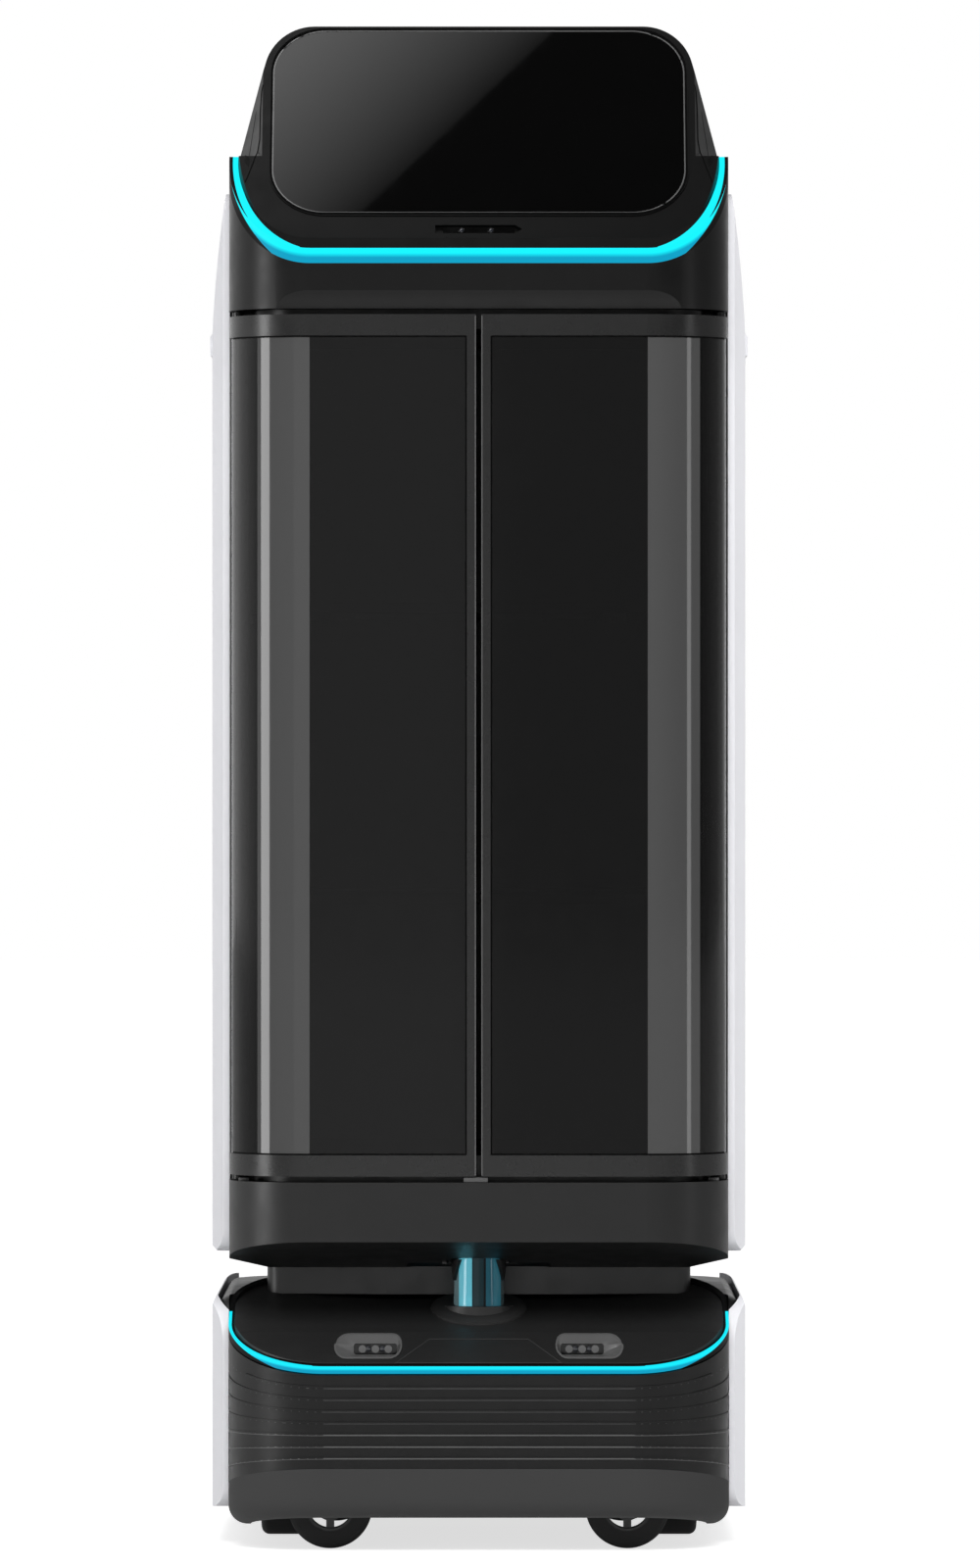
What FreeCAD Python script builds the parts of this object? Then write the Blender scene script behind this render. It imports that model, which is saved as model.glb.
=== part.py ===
"""Indoor delivery robot: a wheeled chassis with a tall two-door glass cabin and a tilted screen on top.

Units are millimetres. +Z is up, the robot faces -Y and +X is its left-hand side as it drives.
The origin is on the floor, under the middle of the robot. Places along the robot are given as a
depth, which is the distance behind the front plane, because its sections are read that way.
A rise is how much a sloping edge climbs for each unit of depth.
"""

import FreeCAD
import Part
import math
import os

# Overall
BODY_DEPTH = 500.0
TOP_HEIGHT = 1361.0
FIT = 0.3                      # gap between fixed pieces, one inside or beside the other
SKIN = 4.0                     # wall of the moulded housings

# Wheels
CASTER_RADIUS = 37.5
CASTER_WIDTH = 22.0
CASTER_EDGE_ROUND = 5.0
CASTER_RIM_RADIUS = 22.0
CASTER_RIM_WALL = 2.2
CASTER_HUB_RADIUS = 12.5
CASTER_SPOKES = 5
CASTER_SPOKE_WIDTH = 7.0
CASTER_TRAIL = 16.0
CASTER_AXIS_X = 116.4
CASTER_FRONT_DEPTH = 80.0
CASTER_AXLE_RADIUS = 4.0
FORK_WALL = 3.0
FORK_CROWN_THICKNESS = 10.0
STEM_RADIUS = 8.0
BEARING_RADIUS = 20.0
RUNNING_CLEARANCE = 0.05       # a shaft in its hole
WHEEL_CLEARANCE = 5.0          # around everything that rolls or swivels
DRIVE_RADIUS = 84.0
DRIVE_WIDTH = 44.0
DRIVE_X = 175.0
DRIVE_TYRE_THICKNESS = 17.0
DRIVE_TYRE_ROUND = 7.0
DRIVE_AXLE_RADIUS = 8.0
DRIVE_DISH = 6.0

# Chassis, seen from above
CHASSIS_HALF = 223.3
CHASSIS_FRONT_RADIUS = 87.0
CHASSIS_REAR_RADIUS = 60.0
DECK_DEPTH = 190.0
DECK_REAR_RADIUS = 62.0
SHOULDER_HALF = 233.6
NECK_HALF = 190.4
NECK_FLAT_HALF = 83.0
NECK_FRONT_DEPTH = 142.0
NECK_CORNER_DEPTH = 157.0
NECK_REAR_DEPTH = 440.0
NECK_EDGE_ROUND = 14.0

# Chassis heights
PLATE_BOTTOM = 100.0
PLATE_THICKNESS = 4.0
PAN_BOTTOM = 33.0
PAN_THICKNESS = 3.0
SKIRT_BOTTOM_FRONT = 34.0
SKIRT_BOTTOM_SIDE = 21.0
SKIRT_ROUND = 17.0
SKIRT_LIP = 3.0
BAND_BOTTOM = 75.6
BAND_BOTTOM_RISE = -0.211
BAND_TOP = 158.3
CHASSIS_TOP = 223.0
SHOULDER_BOTTOM = 204.0
SHOULDER_ROUND = 12.0

# Ribs on the band, which fan out from the front towards the sides
RIB_COUNT = 7
RIB_TOP = 147.9
RIB_PITCH = 10.43
RIB_TOP_RISE = 0.261
RIB_RISE_STEP = -0.0675
RIB_HEIGHT = 1.8
RIB_PROUD = 0.8

# Deck, lower light strip, nose plate
RIM_RISE = 0.38
LOWER_STRIP_GAP = 1.4
LOWER_STRIP_HEIGHT = 7.0
LOWER_STRIP_WIDTH = 5.0
DECK_CREASE_DEPTH = 60.0
DECK_CREASE_HEIGHT = 193.5
DECK_NECK_HEIGHT = 218.5
DECK_REAR_HEIGHT = 235.0
NOSE_HALF_LOW = 74.5
NOSE_HALF_HIGH = 44.5
NOSE_LOW = 168.6
NOSE_HIGH = 188.5
NOSE_PROUD = 0.8

# Camera pods in the deck's front
POD_X = 99.2
POD_Z = 185.0
POD_WIDTH = 60.6
POD_HEIGHT = 22.5
POD_WALL = 1.4
POD_WINDOW_X = 91.8
POD_WINDOW_Z = 179.2
POD_WINDOW_WIDTH = 39.0
POD_WINDOW_HEIGHT = 10.4
POD_WINDOW_DEPTH = 45.0
POD_LENS_RADIUS = 3.4
POD_LENS_OFFSETS = (-11.5, 0.0, 11.5)

# Lidar
LIDAR_DEPTH = 117.0
LIDAR_BOSS_RADIUS = 31.5
LIDAR_BOSS_TOP = 214.5
LIDAR_FOOT_RADIUS = 22.6
LIDAR_TOP_RADIUS = 20.6
LIDAR_RECESS_HALF = 65.0
LIDAR_RECESS_RADIUS = 38.0
LIDAR_RECESS_HEIGHT = 4.0
CLIP_WIDTH = 17.0
CLIP_DROP = 11.0
CLIP_THICKNESS = 2.5
CLIP_ANGLE = 25.0

# Cabinet, seen from above
CABIN_HALF = 222.3
CABIN_FRONT_RADIUS = 73.0
CABIN_REAR_RADIUS = 50.0
CABIN_REAR_DEPTH = 490.0
CABIN_WALL = 15.3
CABIN_BACK_DEPTH = 440.0
INNER_SETBACK = 6.0            # floor and shelves stand this far behind the doors

# Cabinet heights
UNDERSIDE_FRONT = 276.0
UNDERSIDE = 248.0
UNDERSIDE_FLAT_DEPTH = 125.0
UNDERSIDE_FLAT_HALF = 188.0
UNDERSIDE_EDGE_LIFT = 10.0
DOOR_BOTTOM = 334.0
DOOR_TOP = 1096.3
DOOR_GAP = 5.3                 # between the doors and the housings above and below
FLOOR_TOP = 352.0
CEILING = 1084.0
SCOOP_TOP = 1117.5
SCOOP_DEPTH = 6.5
SCOOP_RADIUS = 30.0
CHEEK_TOP = 1240.0
SHELF_TOPS = (841.0, 584.5)
SHELF_THICKNESS = 8.7
SHELF_TAB_X = 121.0
SHELF_TAB_WIDTH = 22.0
SHELF_TAB_HEIGHT = 13.0
SHELF_TAB_THICKNESS = 2.0
SHELF_TAB_HOLE = 3.5

# Doors
DOOR_THICKNESS = 16.0
DOOR_RAIL = 18.8
DOOR_STILE = 8.0
DOOR_CENTRE_GAP = 5.0
DOOR_GLASS = 4.0
DOOR_GLASS_INSET = 2.0
DOOR_GLASS_BITE = 5.0          # how far the glass reaches into its frame
DOOR_AXIS_SETBACK = 9.0        # hinge axis behind the end of the corner's curve
DOOR_SWING_CLEARANCE = 6.0
HINGE_PIN_RADIUS = 3.0
HINGE_PIN_LENGTH = 12.0
HINGE_COLLAR_RADIUS = 5.5
CORNER_BAND_START = 149.5
CORNER_BAND_END = 196.0
CORNER_BAND_THICKNESS = 1.2

# Upper light strip and head
UPPER_RISE = 1.1
UPPER_STRIP_BOTTOM = 1141.4
UPPER_STRIP_HEIGHT = 13.9
UPPER_STRIP_WIDTH = 8.0
SCREEN_TILT = 33.0             # from the vertical
HEAD_SIDE_BASE = 214.3
HEAD_SIDE_LEAN = 15.1          # degrees
HEAD_CORNER = 45.0
HEAD_FACE_HALF = 193.0
HEAD_FACE_TAPER = 24.0         # degrees, from straight back
HEAD_REAR_BASE_DEPTH = 482.0
HEAD_REAR_TOP_DEPTH = 436.0
SCREEN_LOW = 1187.0
SCREEN_LENGTH = 202.7
SCREEN_WIDTH = 368.0
SCREEN_CORNER = 48.0
SCREEN_THICKNESS = 4.0
SCREEN_RIM = 3.0
SCREEN_RIM_PROUD = 1.0
CHIN_SLOT_WIDTH = 77.0
CHIN_SLOT_HEIGHT = 9.0
CHIN_SLOT_Z = 1172.5
CHIN_SLOT_DEEP = 4.0
CHIN_LENSES = (-15.0, 11.0)
CHIN_LENS_RADIUS = 2.6

# White covers
COVER_PROUD = 16.3
COVER_CHAMFER = 18.0
COVER_STEP = 10.0
COVER_FOOT = 5.0
COVER_REAR_DEPTH = 482.0
COVER_CORNER = 18.0
SIDE_COVER_BOTTOM = 263.2
SIDE_COVER_TOP = 1209.0
SIDE_COVER_BEND_LOW = 961.0
SIDE_COVER_BEND_MIDDLE = 1128.0
SIDE_COVER_MIDDLE_PROUD = 13.3
SIDE_COVER_TOP_PROUD = 3.7
GRIP_LOW = 1062.0
GRIP_HIGH = 1101.0
GRIP_PROUD = 3.9
GRIP_START_DEPTH = 190.0
GRIP_END_DEPTH = 330.0
WHEEL_COVER_BOTTOM = 34.5
WHEEL_COVER_TOP = 226.0
WHEEL_COVER_CORNER = 45.0
WHEEL_COVER_TOP_ROUND = 13.0

# Rear and inner pieces
BATTERY_SIZE = (220.0, 200.0, 80.0)
CONTACT_WIDTH = 40.0
CONTACT_HEIGHT = 12.0
CONTACT_X = 32.0
CONTACT_Z = 110.0
CONTACT_POCKET = 4.0
REAR_PANEL_HALF = 160.0
REAR_PANEL_LOW = 380.0
REAR_PANEL_HIGH = 1060.0
REAR_PANEL_CORNER = 20.0
REAR_PANEL_PROUD = 2.0
STOP_X = 130.0
STOP_Z = 1180.0
STOP_BASE_RADIUS = 18.0
STOP_BUTTON_RADIUS = 13.0
SWITCH_X = -130.0
SWITCH_RADIUS = 9.0

# Worked out from the values above
FRONT_Y = -BODY_DEPTH / 2
FAR = 2 * TOP_HEIGHT
DOOR_AXIS_DEPTH = CABIN_FRONT_RADIUS + DOOR_AXIS_SETBACK
DOOR_AXIS_X = CABIN_HALF - DOOR_THICKNESS / 2
WALL_FRONT_DEPTH = DOOR_AXIS_DEPTH + DOOR_THICKNESS / 2 + DOOR_SWING_CLEARANCE
COVER_FRONT_DEPTH = WALL_FRONT_DEPTH + 4.0
CABIN_INNER_HALF = CABIN_HALF - CABIN_WALL
INNER_INSET = DOOR_THICKNESS + INNER_SETBACK
LOWER_HOUSING_TOP = DOOR_BOTTOM - DOOR_GAP
UPPER_HOUSING_BOTTOM = DOOR_TOP + DOOR_GAP
STRIP_BOTTOM = BAND_TOP + LOWER_STRIP_GAP
STRIP_TOP = STRIP_BOTTOM + LOWER_STRIP_HEIGHT
UPPER_STRIP_TOP = UPPER_STRIP_BOTTOM + UPPER_STRIP_HEIGHT
HEAD_INSET = UPPER_STRIP_WIDTH + FIT
SCREEN_RISE = 1 / math.tan(math.radians(SCREEN_TILT))
SHOULDER_FRONT_DEPTH = COVER_FRONT_DEPTH + 6.0
SHOULDER_REAR_DEPTH = COVER_REAR_DEPTH - 4.0

PARTS = {}


def vec(x, y, z):
    """A point from its three coordinates."""
    return FreeCAD.Vector(x, y, z)


def at_depth(depth):
    """The Y coordinate of a depth behind the front plane."""
    return FRONT_Y + depth


def outline(half, front, rear, front_radius, rear_radius):
    """A closed wire at height 0, straight at the sides and round at the corners, between two depths."""
    corners = (
        (half - front_radius, at_depth(front + front_radius), front_radius, -90.0),
        (half - rear_radius, at_depth(rear - rear_radius), rear_radius, 0.0),
        (rear_radius - half, at_depth(rear - rear_radius), rear_radius, 90.0),
        (front_radius - half, at_depth(front + front_radius), front_radius, 180.0),
    )
    arcs = []
    for x, y, radius, start in corners:
        angles = [math.radians(start + turn) for turn in (0.0, 45.0, 90.0)]
        arcs.append([vec(x + radius * math.cos(a), y + radius * math.sin(a), 0) for a in angles])
    edges = []
    for arc, following in zip(arcs, arcs[1:] + arcs[:1]):
        edges.append(Part.Arc(*arc).toShape())
        edges.append(Part.makeLine(arc[2], following[0]))
    return Part.Wire(edges)


def prism(wire, low, high):
    """Extrudes an outline drawn at height 0 between two heights."""
    face = Part.Face(wire)
    face.translate(vec(0, 0, low))
    return face.extrude(vec(0, 0, high - low))


def cabin_prism(inset, low, high):
    """The cabinet's outline, moved in by inset, between two heights."""
    return prism(outline(CABIN_HALF - inset, inset, CABIN_REAR_DEPTH - inset,
                         CABIN_FRONT_RADIUS - inset, CABIN_REAR_RADIUS - inset), low, high)


def chassis_prism(inset, low, high):
    """The chassis outline, moved in by inset, between two heights."""
    return prism(outline(CHASSIS_HALF - inset, inset, BODY_DEPTH - inset,
                         CHASSIS_FRONT_RADIUS - inset, CHASSIS_REAR_RADIUS - inset), low, high)


def deck_prism(inset, low, high):
    """The deck's pill-shaped outline, moved in by inset, between two heights."""
    return prism(outline(CHASSIS_HALF - inset, inset, DECK_DEPTH - inset,
                         CHASSIS_FRONT_RADIUS - inset, DECK_REAR_RADIUS - inset), low, high)


def side_slab(points, x_low, x_high):
    """Extrudes a polygon of (depth, z) points between two X positions."""
    corners = [vec(x_low, at_depth(d), z) for d, z in points]
    face = Part.Face(Part.makePolygon(corners + corners[:1]))
    return face.extrude(vec(x_high - x_low, 0, 0))


def below(points, low=0.0):
    """Everything under a line of (depth, z) points, down to a height, right across the robot."""
    ends = [(points[-1][0], low), (points[0][0], low)]
    return side_slab(list(points) + ends, -FAR, FAR)


def below_slope(height, rise, low=0.0):
    """Everything under a plane that stands at a height at the front plane and rises with depth."""
    reach = FAR
    front = -BODY_DEPTH / 4
    return below([(front, height + rise * front), (reach, height + rise * reach)], low)


def front_prism(points, front, rear):
    """Extrudes a polygon of (x, z) points between two depths."""
    corners = [vec(x, at_depth(front), z) for x, z in points]
    face = Part.Face(Part.makePolygon(corners + corners[:1]))
    return face.extrude(vec(0, rear - front, 0))


def plan_prism(points, low, high):
    """Extrudes a polygon of (x, depth) points between two heights."""
    corners = [vec(x, at_depth(d), low) for x, d in points]
    face = Part.Face(Part.makePolygon(corners + corners[:1]))
    return face.extrude(vec(0, 0, high - low))


def block(x_range, depth_range, z_range):
    """A box from its X range, depth range and height range."""
    size = [high - low for low, high in (x_range, depth_range, z_range)]
    return Part.makeBox(*size, vec(x_range[0], at_depth(depth_range[0]), z_range[0]))


def behind(depth):
    """Everything behind a depth."""
    return block((-FAR, FAR), (depth, FAR), (-FAR, FAR))


def post(radius, x, depth, low, high):
    """An upright cylinder between two heights."""
    return Part.makeCylinder(radius, high - low, vec(x, at_depth(depth), low))


def mirrored(shape):
    """The same shape on the other side of the robot."""
    return shape.mirror(vec(0, 0, 0), vec(1, 0, 0))


def both_sides(shape):
    """A shape together with its mirror image."""
    return shape.fuse(mirrored(shape))


def fuse_all(shapes):
    """One solid from several that touch."""
    return shapes[0].multiFuse(shapes[1:]).removeSplitter()


def keep(name, shape):
    """Stores a finished piece under its node name."""
    PARTS[name] = shape.removeSplitter()


def keep_pair(name, shape):
    """Stores a piece made for the +X side, and its mirror image."""
    keep(name + "_left", shape)
    keep(name + "_right", mirrored(shape))


# Wheels

def caster_places():
    """The four swivel axes, as (end, side, x, depth)."""
    depths = (("front", CASTER_FRONT_DEPTH), ("rear", BODY_DEPTH - CASTER_FRONT_DEPTH))
    sides = (("left", CASTER_AXIS_X), ("right", -CASTER_AXIS_X))
    return [(end, side, x, depth) for end, depth in depths for side, x in sides]


def across(radius, width, x=CASTER_TRAIL, start=None):
    """A cylinder along Y about a caster's axle, centred unless its start is given."""
    start = -width / 2 if start is None else start
    return Part.makeCylinder(radius, width, vec(x, start, CASTER_RADIUS), vec(0, 1, 0))


def rounded_wheel(shape, radius, edge_round):
    """A wheel's tread with both of its outer edges rounded."""
    edges = [e for e in shape.Edges if e.Closed and abs(e.Length - 2 * math.pi * radius) < 1.0]
    return shape.makeFillet(edge_round, edges)


def make_caster_tyre():
    """Rubber tyre of a caster, whose swivel axis is the Z axis here."""
    tread = rounded_wheel(across(CASTER_RADIUS, CASTER_WIDTH), CASTER_RADIUS, CASTER_EDGE_ROUND)
    return tread.cut(across(CASTER_RIM_RADIUS, CASTER_WIDTH + 2))


def make_caster_rim():
    """Spoked rim and hub inside the tyre, with one spoke straight down."""
    width = CASTER_WIDTH - 2.0
    ring = across(CASTER_RIM_RADIUS, width).cut(across(CASTER_RIM_RADIUS - CASTER_RIM_WALL, width + 2))
    hub = across(CASTER_HUB_RADIUS, CASTER_WIDTH + 1.0)
    reach = CASTER_RIM_RADIUS - CASTER_HUB_RADIUS
    centre = vec(CASTER_TRAIL, 0, CASTER_RADIUS)
    pieces = [ring, hub]
    for i in range(CASTER_SPOKES):
        spoke = Part.makeBox(CASTER_SPOKE_WIDTH, width - 6.0, reach,
                             centre + vec(-CASTER_SPOKE_WIDTH / 2, 3.0 - width / 2, CASTER_HUB_RADIUS - 1.0))
        spoke.rotate(centre, vec(0, 1, 0), 180.0 + 360.0 / CASTER_SPOKES * i)
        pieces.append(spoke)
    return fuse_all(pieces).cut(across(CASTER_AXLE_RADIUS + RUNNING_CLEARANCE, CASTER_WIDTH + 4))


def make_caster_fork():
    """Fork, axle, bearing housing and stem, with the wheel trailing towards +X."""
    inner = CASTER_WIDTH / 2 + 2.0
    half = inner + FORK_WALL
    crown_low = 2 * CASTER_RADIUS + WHEEL_CLEARANCE
    crown_high = crown_low + FORK_CROWN_THICKNESS
    crown = Part.makeBox(2 * BEARING_RADIUS + 6.0, 2 * half, FORK_CROWN_THICKNESS,
                         vec(-BEARING_RADIUS, -half, crown_low))
    crown = crown.makeFillet(8.0, [e for e in crown.Edges if abs(e.Length - FORK_CROWN_THICKNESS) < 0.01])
    pieces = [crown, across(CASTER_AXLE_RADIUS, 2 * half)]
    for start in (-half, inner):
        arm = Part.makePolygon([
            vec(-14.0, start, crown_low + 1.0), vec(24.0, start, crown_low + 1.0),
            vec(CASTER_TRAIL + 8.0, start, CASTER_RADIUS), vec(CASTER_TRAIL - 8.0, start, CASTER_RADIUS),
            vec(-14.0, start, crown_low + 1.0)])
        pieces.append(Part.Face(arm).extrude(vec(0, FORK_WALL, 0)))
        pieces.append(across(8.0, FORK_WALL, start=start))
    pieces.append(Part.makeCylinder(BEARING_RADIUS, PLATE_BOTTOM - 1.0 - crown_high, vec(0, 0, crown_high)))
    stem_top = PLATE_BOTTOM + PLATE_THICKNESS + 5.0
    pieces.append(Part.makeCylinder(STEM_RADIUS, stem_top - crown_high, vec(0, 0, crown_high)))
    pieces.append(Part.makeCylinder(STEM_RADIUS + 4.0, 4.0, vec(0, 0, stem_top - 4.0)))
    return fuse_all(pieces)


def place_casters():
    """Stores four casters, their wheels turned outwards as they stand in the photograph."""
    pieces = {"fork": make_caster_fork(), "tyre": make_caster_tyre(), "rim": make_caster_rim()}
    for end, side, x, depth in caster_places():
        for piece, shape in pieces.items():
            placed = shape.copy() if x > 0 else mirrored(shape)
            placed.translate(vec(x, at_depth(depth), 0))
            keep(f"caster_{piece}_{end}_{side}", placed)


def along_x(radius, x_low, x_high):
    """A cylinder about the drive axle between two X positions."""
    return Part.makeCylinder(radius, x_high - x_low, vec(x_low, 0, DRIVE_RADIUS), vec(1, 0, 0))


def make_drive_tyre():
    """Drive wheel's tyre on the +X side."""
    low, high = DRIVE_X - DRIVE_WIDTH / 2, DRIVE_X + DRIVE_WIDTH / 2
    tread = rounded_wheel(along_x(DRIVE_RADIUS, low, high), DRIVE_RADIUS, DRIVE_TYRE_ROUND)
    return tread.cut(along_x(DRIVE_RADIUS - DRIVE_TYRE_THICKNESS, low - 1, high + 1))


def make_drive_hub():
    """Hub motor inside the drive tyre, dished on both faces."""
    low, high = DRIVE_X - DRIVE_WIDTH / 2 + 2.0, DRIVE_X + DRIVE_WIDTH / 2 - 2.0
    outer = DRIVE_RADIUS - DRIVE_TYRE_THICKNESS
    hub = along_x(outer, low, high)
    for start, end in ((low - 1.0, low + DRIVE_DISH), (high - DRIVE_DISH, high + 1.0)):
        hub = hub.cut(along_x(outer - 8.0, start, end).cut(along_x(28.0, start, end)))
    return hub.cut(along_x(DRIVE_AXLE_RADIUS + RUNNING_CLEARANCE, low - 1.0, high + 1.0))


def make_drive_bracket():
    """Angle bracket under the frame plate, with the fixed axle of the +X drive wheel."""
    inner = DRIVE_X - DRIVE_WIDTH / 2 - WHEEL_CLEARANCE
    web = Part.makeBox(6.0, 64.0, PLATE_BOTTOM - DRIVE_RADIUS + 26.0, vec(inner - 6.0, -32.0, DRIVE_RADIUS - 26.0))
    foot = Part.makeBox(30.0, 64.0, 6.0, vec(inner - 36.0, -32.0, PLATE_BOTTOM - 6.0))
    axle = along_x(DRIVE_AXLE_RADIUS, inner - 3.0, DRIVE_X + DRIVE_WIDTH / 2 - 1.0)
    return fuse_all([web, foot, axle])


def wheel_wells(low, high):
    """Clearance round all six wheels between two heights."""
    swing = CASTER_TRAIL + math.hypot(CASTER_RADIUS, CASTER_WIDTH / 2) + WHEEL_CLEARANCE
    wells = [post(swing, x, depth, low, high) for _, _, x, depth in caster_places()]
    half_width = DRIVE_WIDTH / 2 + WHEEL_CLEARANCE + 8.0
    half_length = DRIVE_RADIUS + WHEEL_CLEARANCE
    for x in (-DRIVE_X, DRIVE_X):
        wells.append(block((x - half_width, x + half_width),
                           (BODY_DEPTH / 2 - half_length, BODY_DEPTH / 2 + half_length), (low, high)))
    return wells


# Chassis

def make_frame_plate():
    """Steel plate that carries the casters, the drive wheels and the battery."""
    plate = chassis_prism(RIB_PROUD + SKIN + FIT, PLATE_BOTTOM, PLATE_BOTTOM + PLATE_THICKNESS)
    clear = DRIVE_RADIUS + WHEEL_CLEARANCE
    half = DRIVE_WIDTH / 2 + WHEEL_CLEARANCE
    for x in (-DRIVE_X, DRIVE_X):
        plate = plate.cut(block((x - half, x + half), (BODY_DEPTH / 2 - clear, BODY_DEPTH / 2 + clear),
                                (0.0, TOP_HEIGHT)))
    for _, _, x, depth in caster_places():
        plate = plate.cut(post(STEM_RADIUS + RUNNING_CLEARANCE, x, depth, 0.0, TOP_HEIGHT))
    return plate


def make_pan():
    """Plastic underpan with openings for the wheels."""
    pan = chassis_prism(SKIRT_ROUND + SKIRT_LIP + FIT, PAN_BOTTOM, PAN_BOTTOM + PAN_THICKNESS)
    for well in wheel_wells(0.0, TOP_HEIGHT):
        pan = pan.cut(well)
    return pan


def make_pan_posts():
    """Posts that hold the underpan below the frame plate."""
    top = PLATE_BOTTOM
    posts = [post(7.0, x, depth, PAN_BOTTOM + PAN_THICKNESS, top) for x in (-70.0, 70.0)
             for depth in (BODY_DEPTH / 2 - 90.0, BODY_DEPTH / 2 + 90.0)]
    return Part.makeCompound(posts)


def band_bottom(depth):
    """Height of the ribbed band's lower edge at a depth; it is level behind the front corners."""
    return BAND_BOTTOM + BAND_BOTTOM_RISE * min(depth, CHASSIS_FRONT_RADIUS)


def below_band():
    """Everything under the ribbed band's lower edge."""
    depths = (-20.0, CHASSIS_FRONT_RADIUS, BODY_DEPTH + 20.0)
    return below([(d, band_bottom(d)) for d in depths], -20.0)


def skirt_body(inset):
    """The skirt's solid body with its arched and rounded bottom edge, moved in by inset."""
    body = chassis_prism(inset, SKIRT_BOTTOM_SIDE + inset, BAND_BOTTOM + 40.0)
    arch_rise = (SKIRT_BOTTOM_SIDE - SKIRT_BOTTOM_FRONT) / CHASSIS_FRONT_RADIUS
    front = -40.0
    arch = [(front, SKIRT_BOTTOM_FRONT + inset + arch_rise * front),
            (CHASSIS_FRONT_RADIUS, SKIRT_BOTTOM_SIDE + inset)]
    body = body.cut(below(arch, -20.0))
    seam_y = at_depth(CHASSIS_FRONT_RADIUS)
    edges = []
    for edge in body.Edges:
        box = edge.BoundBox
        at_seam = box.YLength < 0.01 and abs(box.YMin - seam_y) < 0.01
        if box.ZMax < SKIRT_BOTTOM_FRONT + inset + 1.0 and not at_seam:
            edges.append(edge)
    return body.makeFillet(SKIRT_ROUND - inset, edges)


def make_skirt():
    """Bumper skirt: a thin moulded shell that tucks in under the chassis."""
    mouth = chassis_prism(SKIRT_ROUND + SKIRT_LIP, -20.0, BAND_BOTTOM)
    above = chassis_prism(-20.0, -20.0, 300.0).cut(below_band())
    return skirt_body(0.0).cut(skirt_body(SKIN)).cut(mouth).cut(above)


def make_rib(index):
    """One rib of the band, in its own sloping plane."""
    z = RIB_TOP - RIB_PITCH * index
    rise = RIB_TOP_RISE + RIB_RISE_STEP * index
    depths = (-10.0, COVER_FRONT_DEPTH - 2.0)
    low = [(d, z + rise * d - RIB_HEIGHT / 2) for d in depths]
    high = [(d, z + rise * d + RIB_HEIGHT / 2) for d in reversed(depths)]
    ring = chassis_prism(0.0, 0.0, CHASSIS_TOP).cut(chassis_prism(RIB_PROUD + 0.5, -1.0, CHASSIS_TOP + 1.0))
    return side_slab(low + high, -FAR, FAR).common(ring)


def below_rim():
    """Everything under the plane in which the deck's rim lies."""
    return below_slope(BAND_TOP, RIM_RISE)


def make_chassis_shell():
    """Ribbed band, roof and shoulders of the chassis, moulded in one and open at the bottom."""
    above_rim_in_deck = deck_prism(-FIT, BAND_TOP - 60.0, FAR).cut(below_rim())
    front_part = chassis_prism(RIB_PROUD, 0.0, CHASSIS_TOP).common(below_rim())
    raised = deck_prism(0.0, BAND_TOP, FAR).common(below_rim())
    rear = chassis_prism(RIB_PROUD, 0.0, CHASSIS_TOP).common(behind(SHOULDER_FRONT_DEPTH))
    shoulder = prism(outline(SHOULDER_HALF, SHOULDER_FRONT_DEPTH, SHOULDER_REAR_DEPTH, 26.0, 26.0),
                     SHOULDER_BOTTOM, CHASSIS_TOP)
    top_edges = [e for e in shoulder.Edges if e.BoundBox.ZMin > CHASSIS_TOP - 0.01]
    shoulder = shoulder.makeFillet(SHOULDER_ROUND, top_edges)
    rear = rear.fuse(shoulder).cut(above_rim_in_deck)
    shell = fuse_all([front_part, raised, rear]).cut(below_band())
    shell = fuse_all([shell] + [make_rib(i) for i in range(RIB_COUNT)])
    inner = chassis_prism(SKIN + RIB_PROUD, 0.0, CHASSIS_TOP - SKIN)
    lowered_rim = below_slope(BAND_TOP - SKIN, RIM_RISE)
    pocket = block((-CONTACT_X - CONTACT_WIDTH, CONTACT_X + CONTACT_WIDTH),
                   (BODY_DEPTH - RIB_PROUD - 2.0, BODY_DEPTH + 5.0),
                   (CONTACT_Z - CONTACT_HEIGHT, CONTACT_Z + CONTACT_HEIGHT))
    return shell.cut(inner.common(lowered_rim)).cut(pocket)


def make_charge_contacts():
    """Two charging contacts in their pocket at the rear of the chassis."""
    front = BODY_DEPTH - RIB_PROUD - 2.0
    bars = [block((x - CONTACT_WIDTH / 2, x + CONTACT_WIDTH / 2), (front, BODY_DEPTH - RIB_PROUD),
                  (CONTACT_Z - CONTACT_HEIGHT / 2, CONTACT_Z + CONTACT_HEIGHT / 2))
            for x in (-CONTACT_X, CONTACT_X)]
    return Part.makeCompound(bars)


def below_deck_top(grow=0.0):
    """Everything under the deck's upper surface, which is creased across its front."""
    line = [(-20.0, STRIP_TOP - 20.0 * (DECK_CREASE_HEIGHT - STRIP_TOP) / DECK_CREASE_DEPTH),
            (DECK_CREASE_DEPTH, DECK_CREASE_HEIGHT), (NECK_FRONT_DEPTH, DECK_NECK_HEIGHT),
            (DECK_DEPTH, DECK_REAR_HEIGHT)]
    return below([(d, z + grow) for d, z in line])


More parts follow.
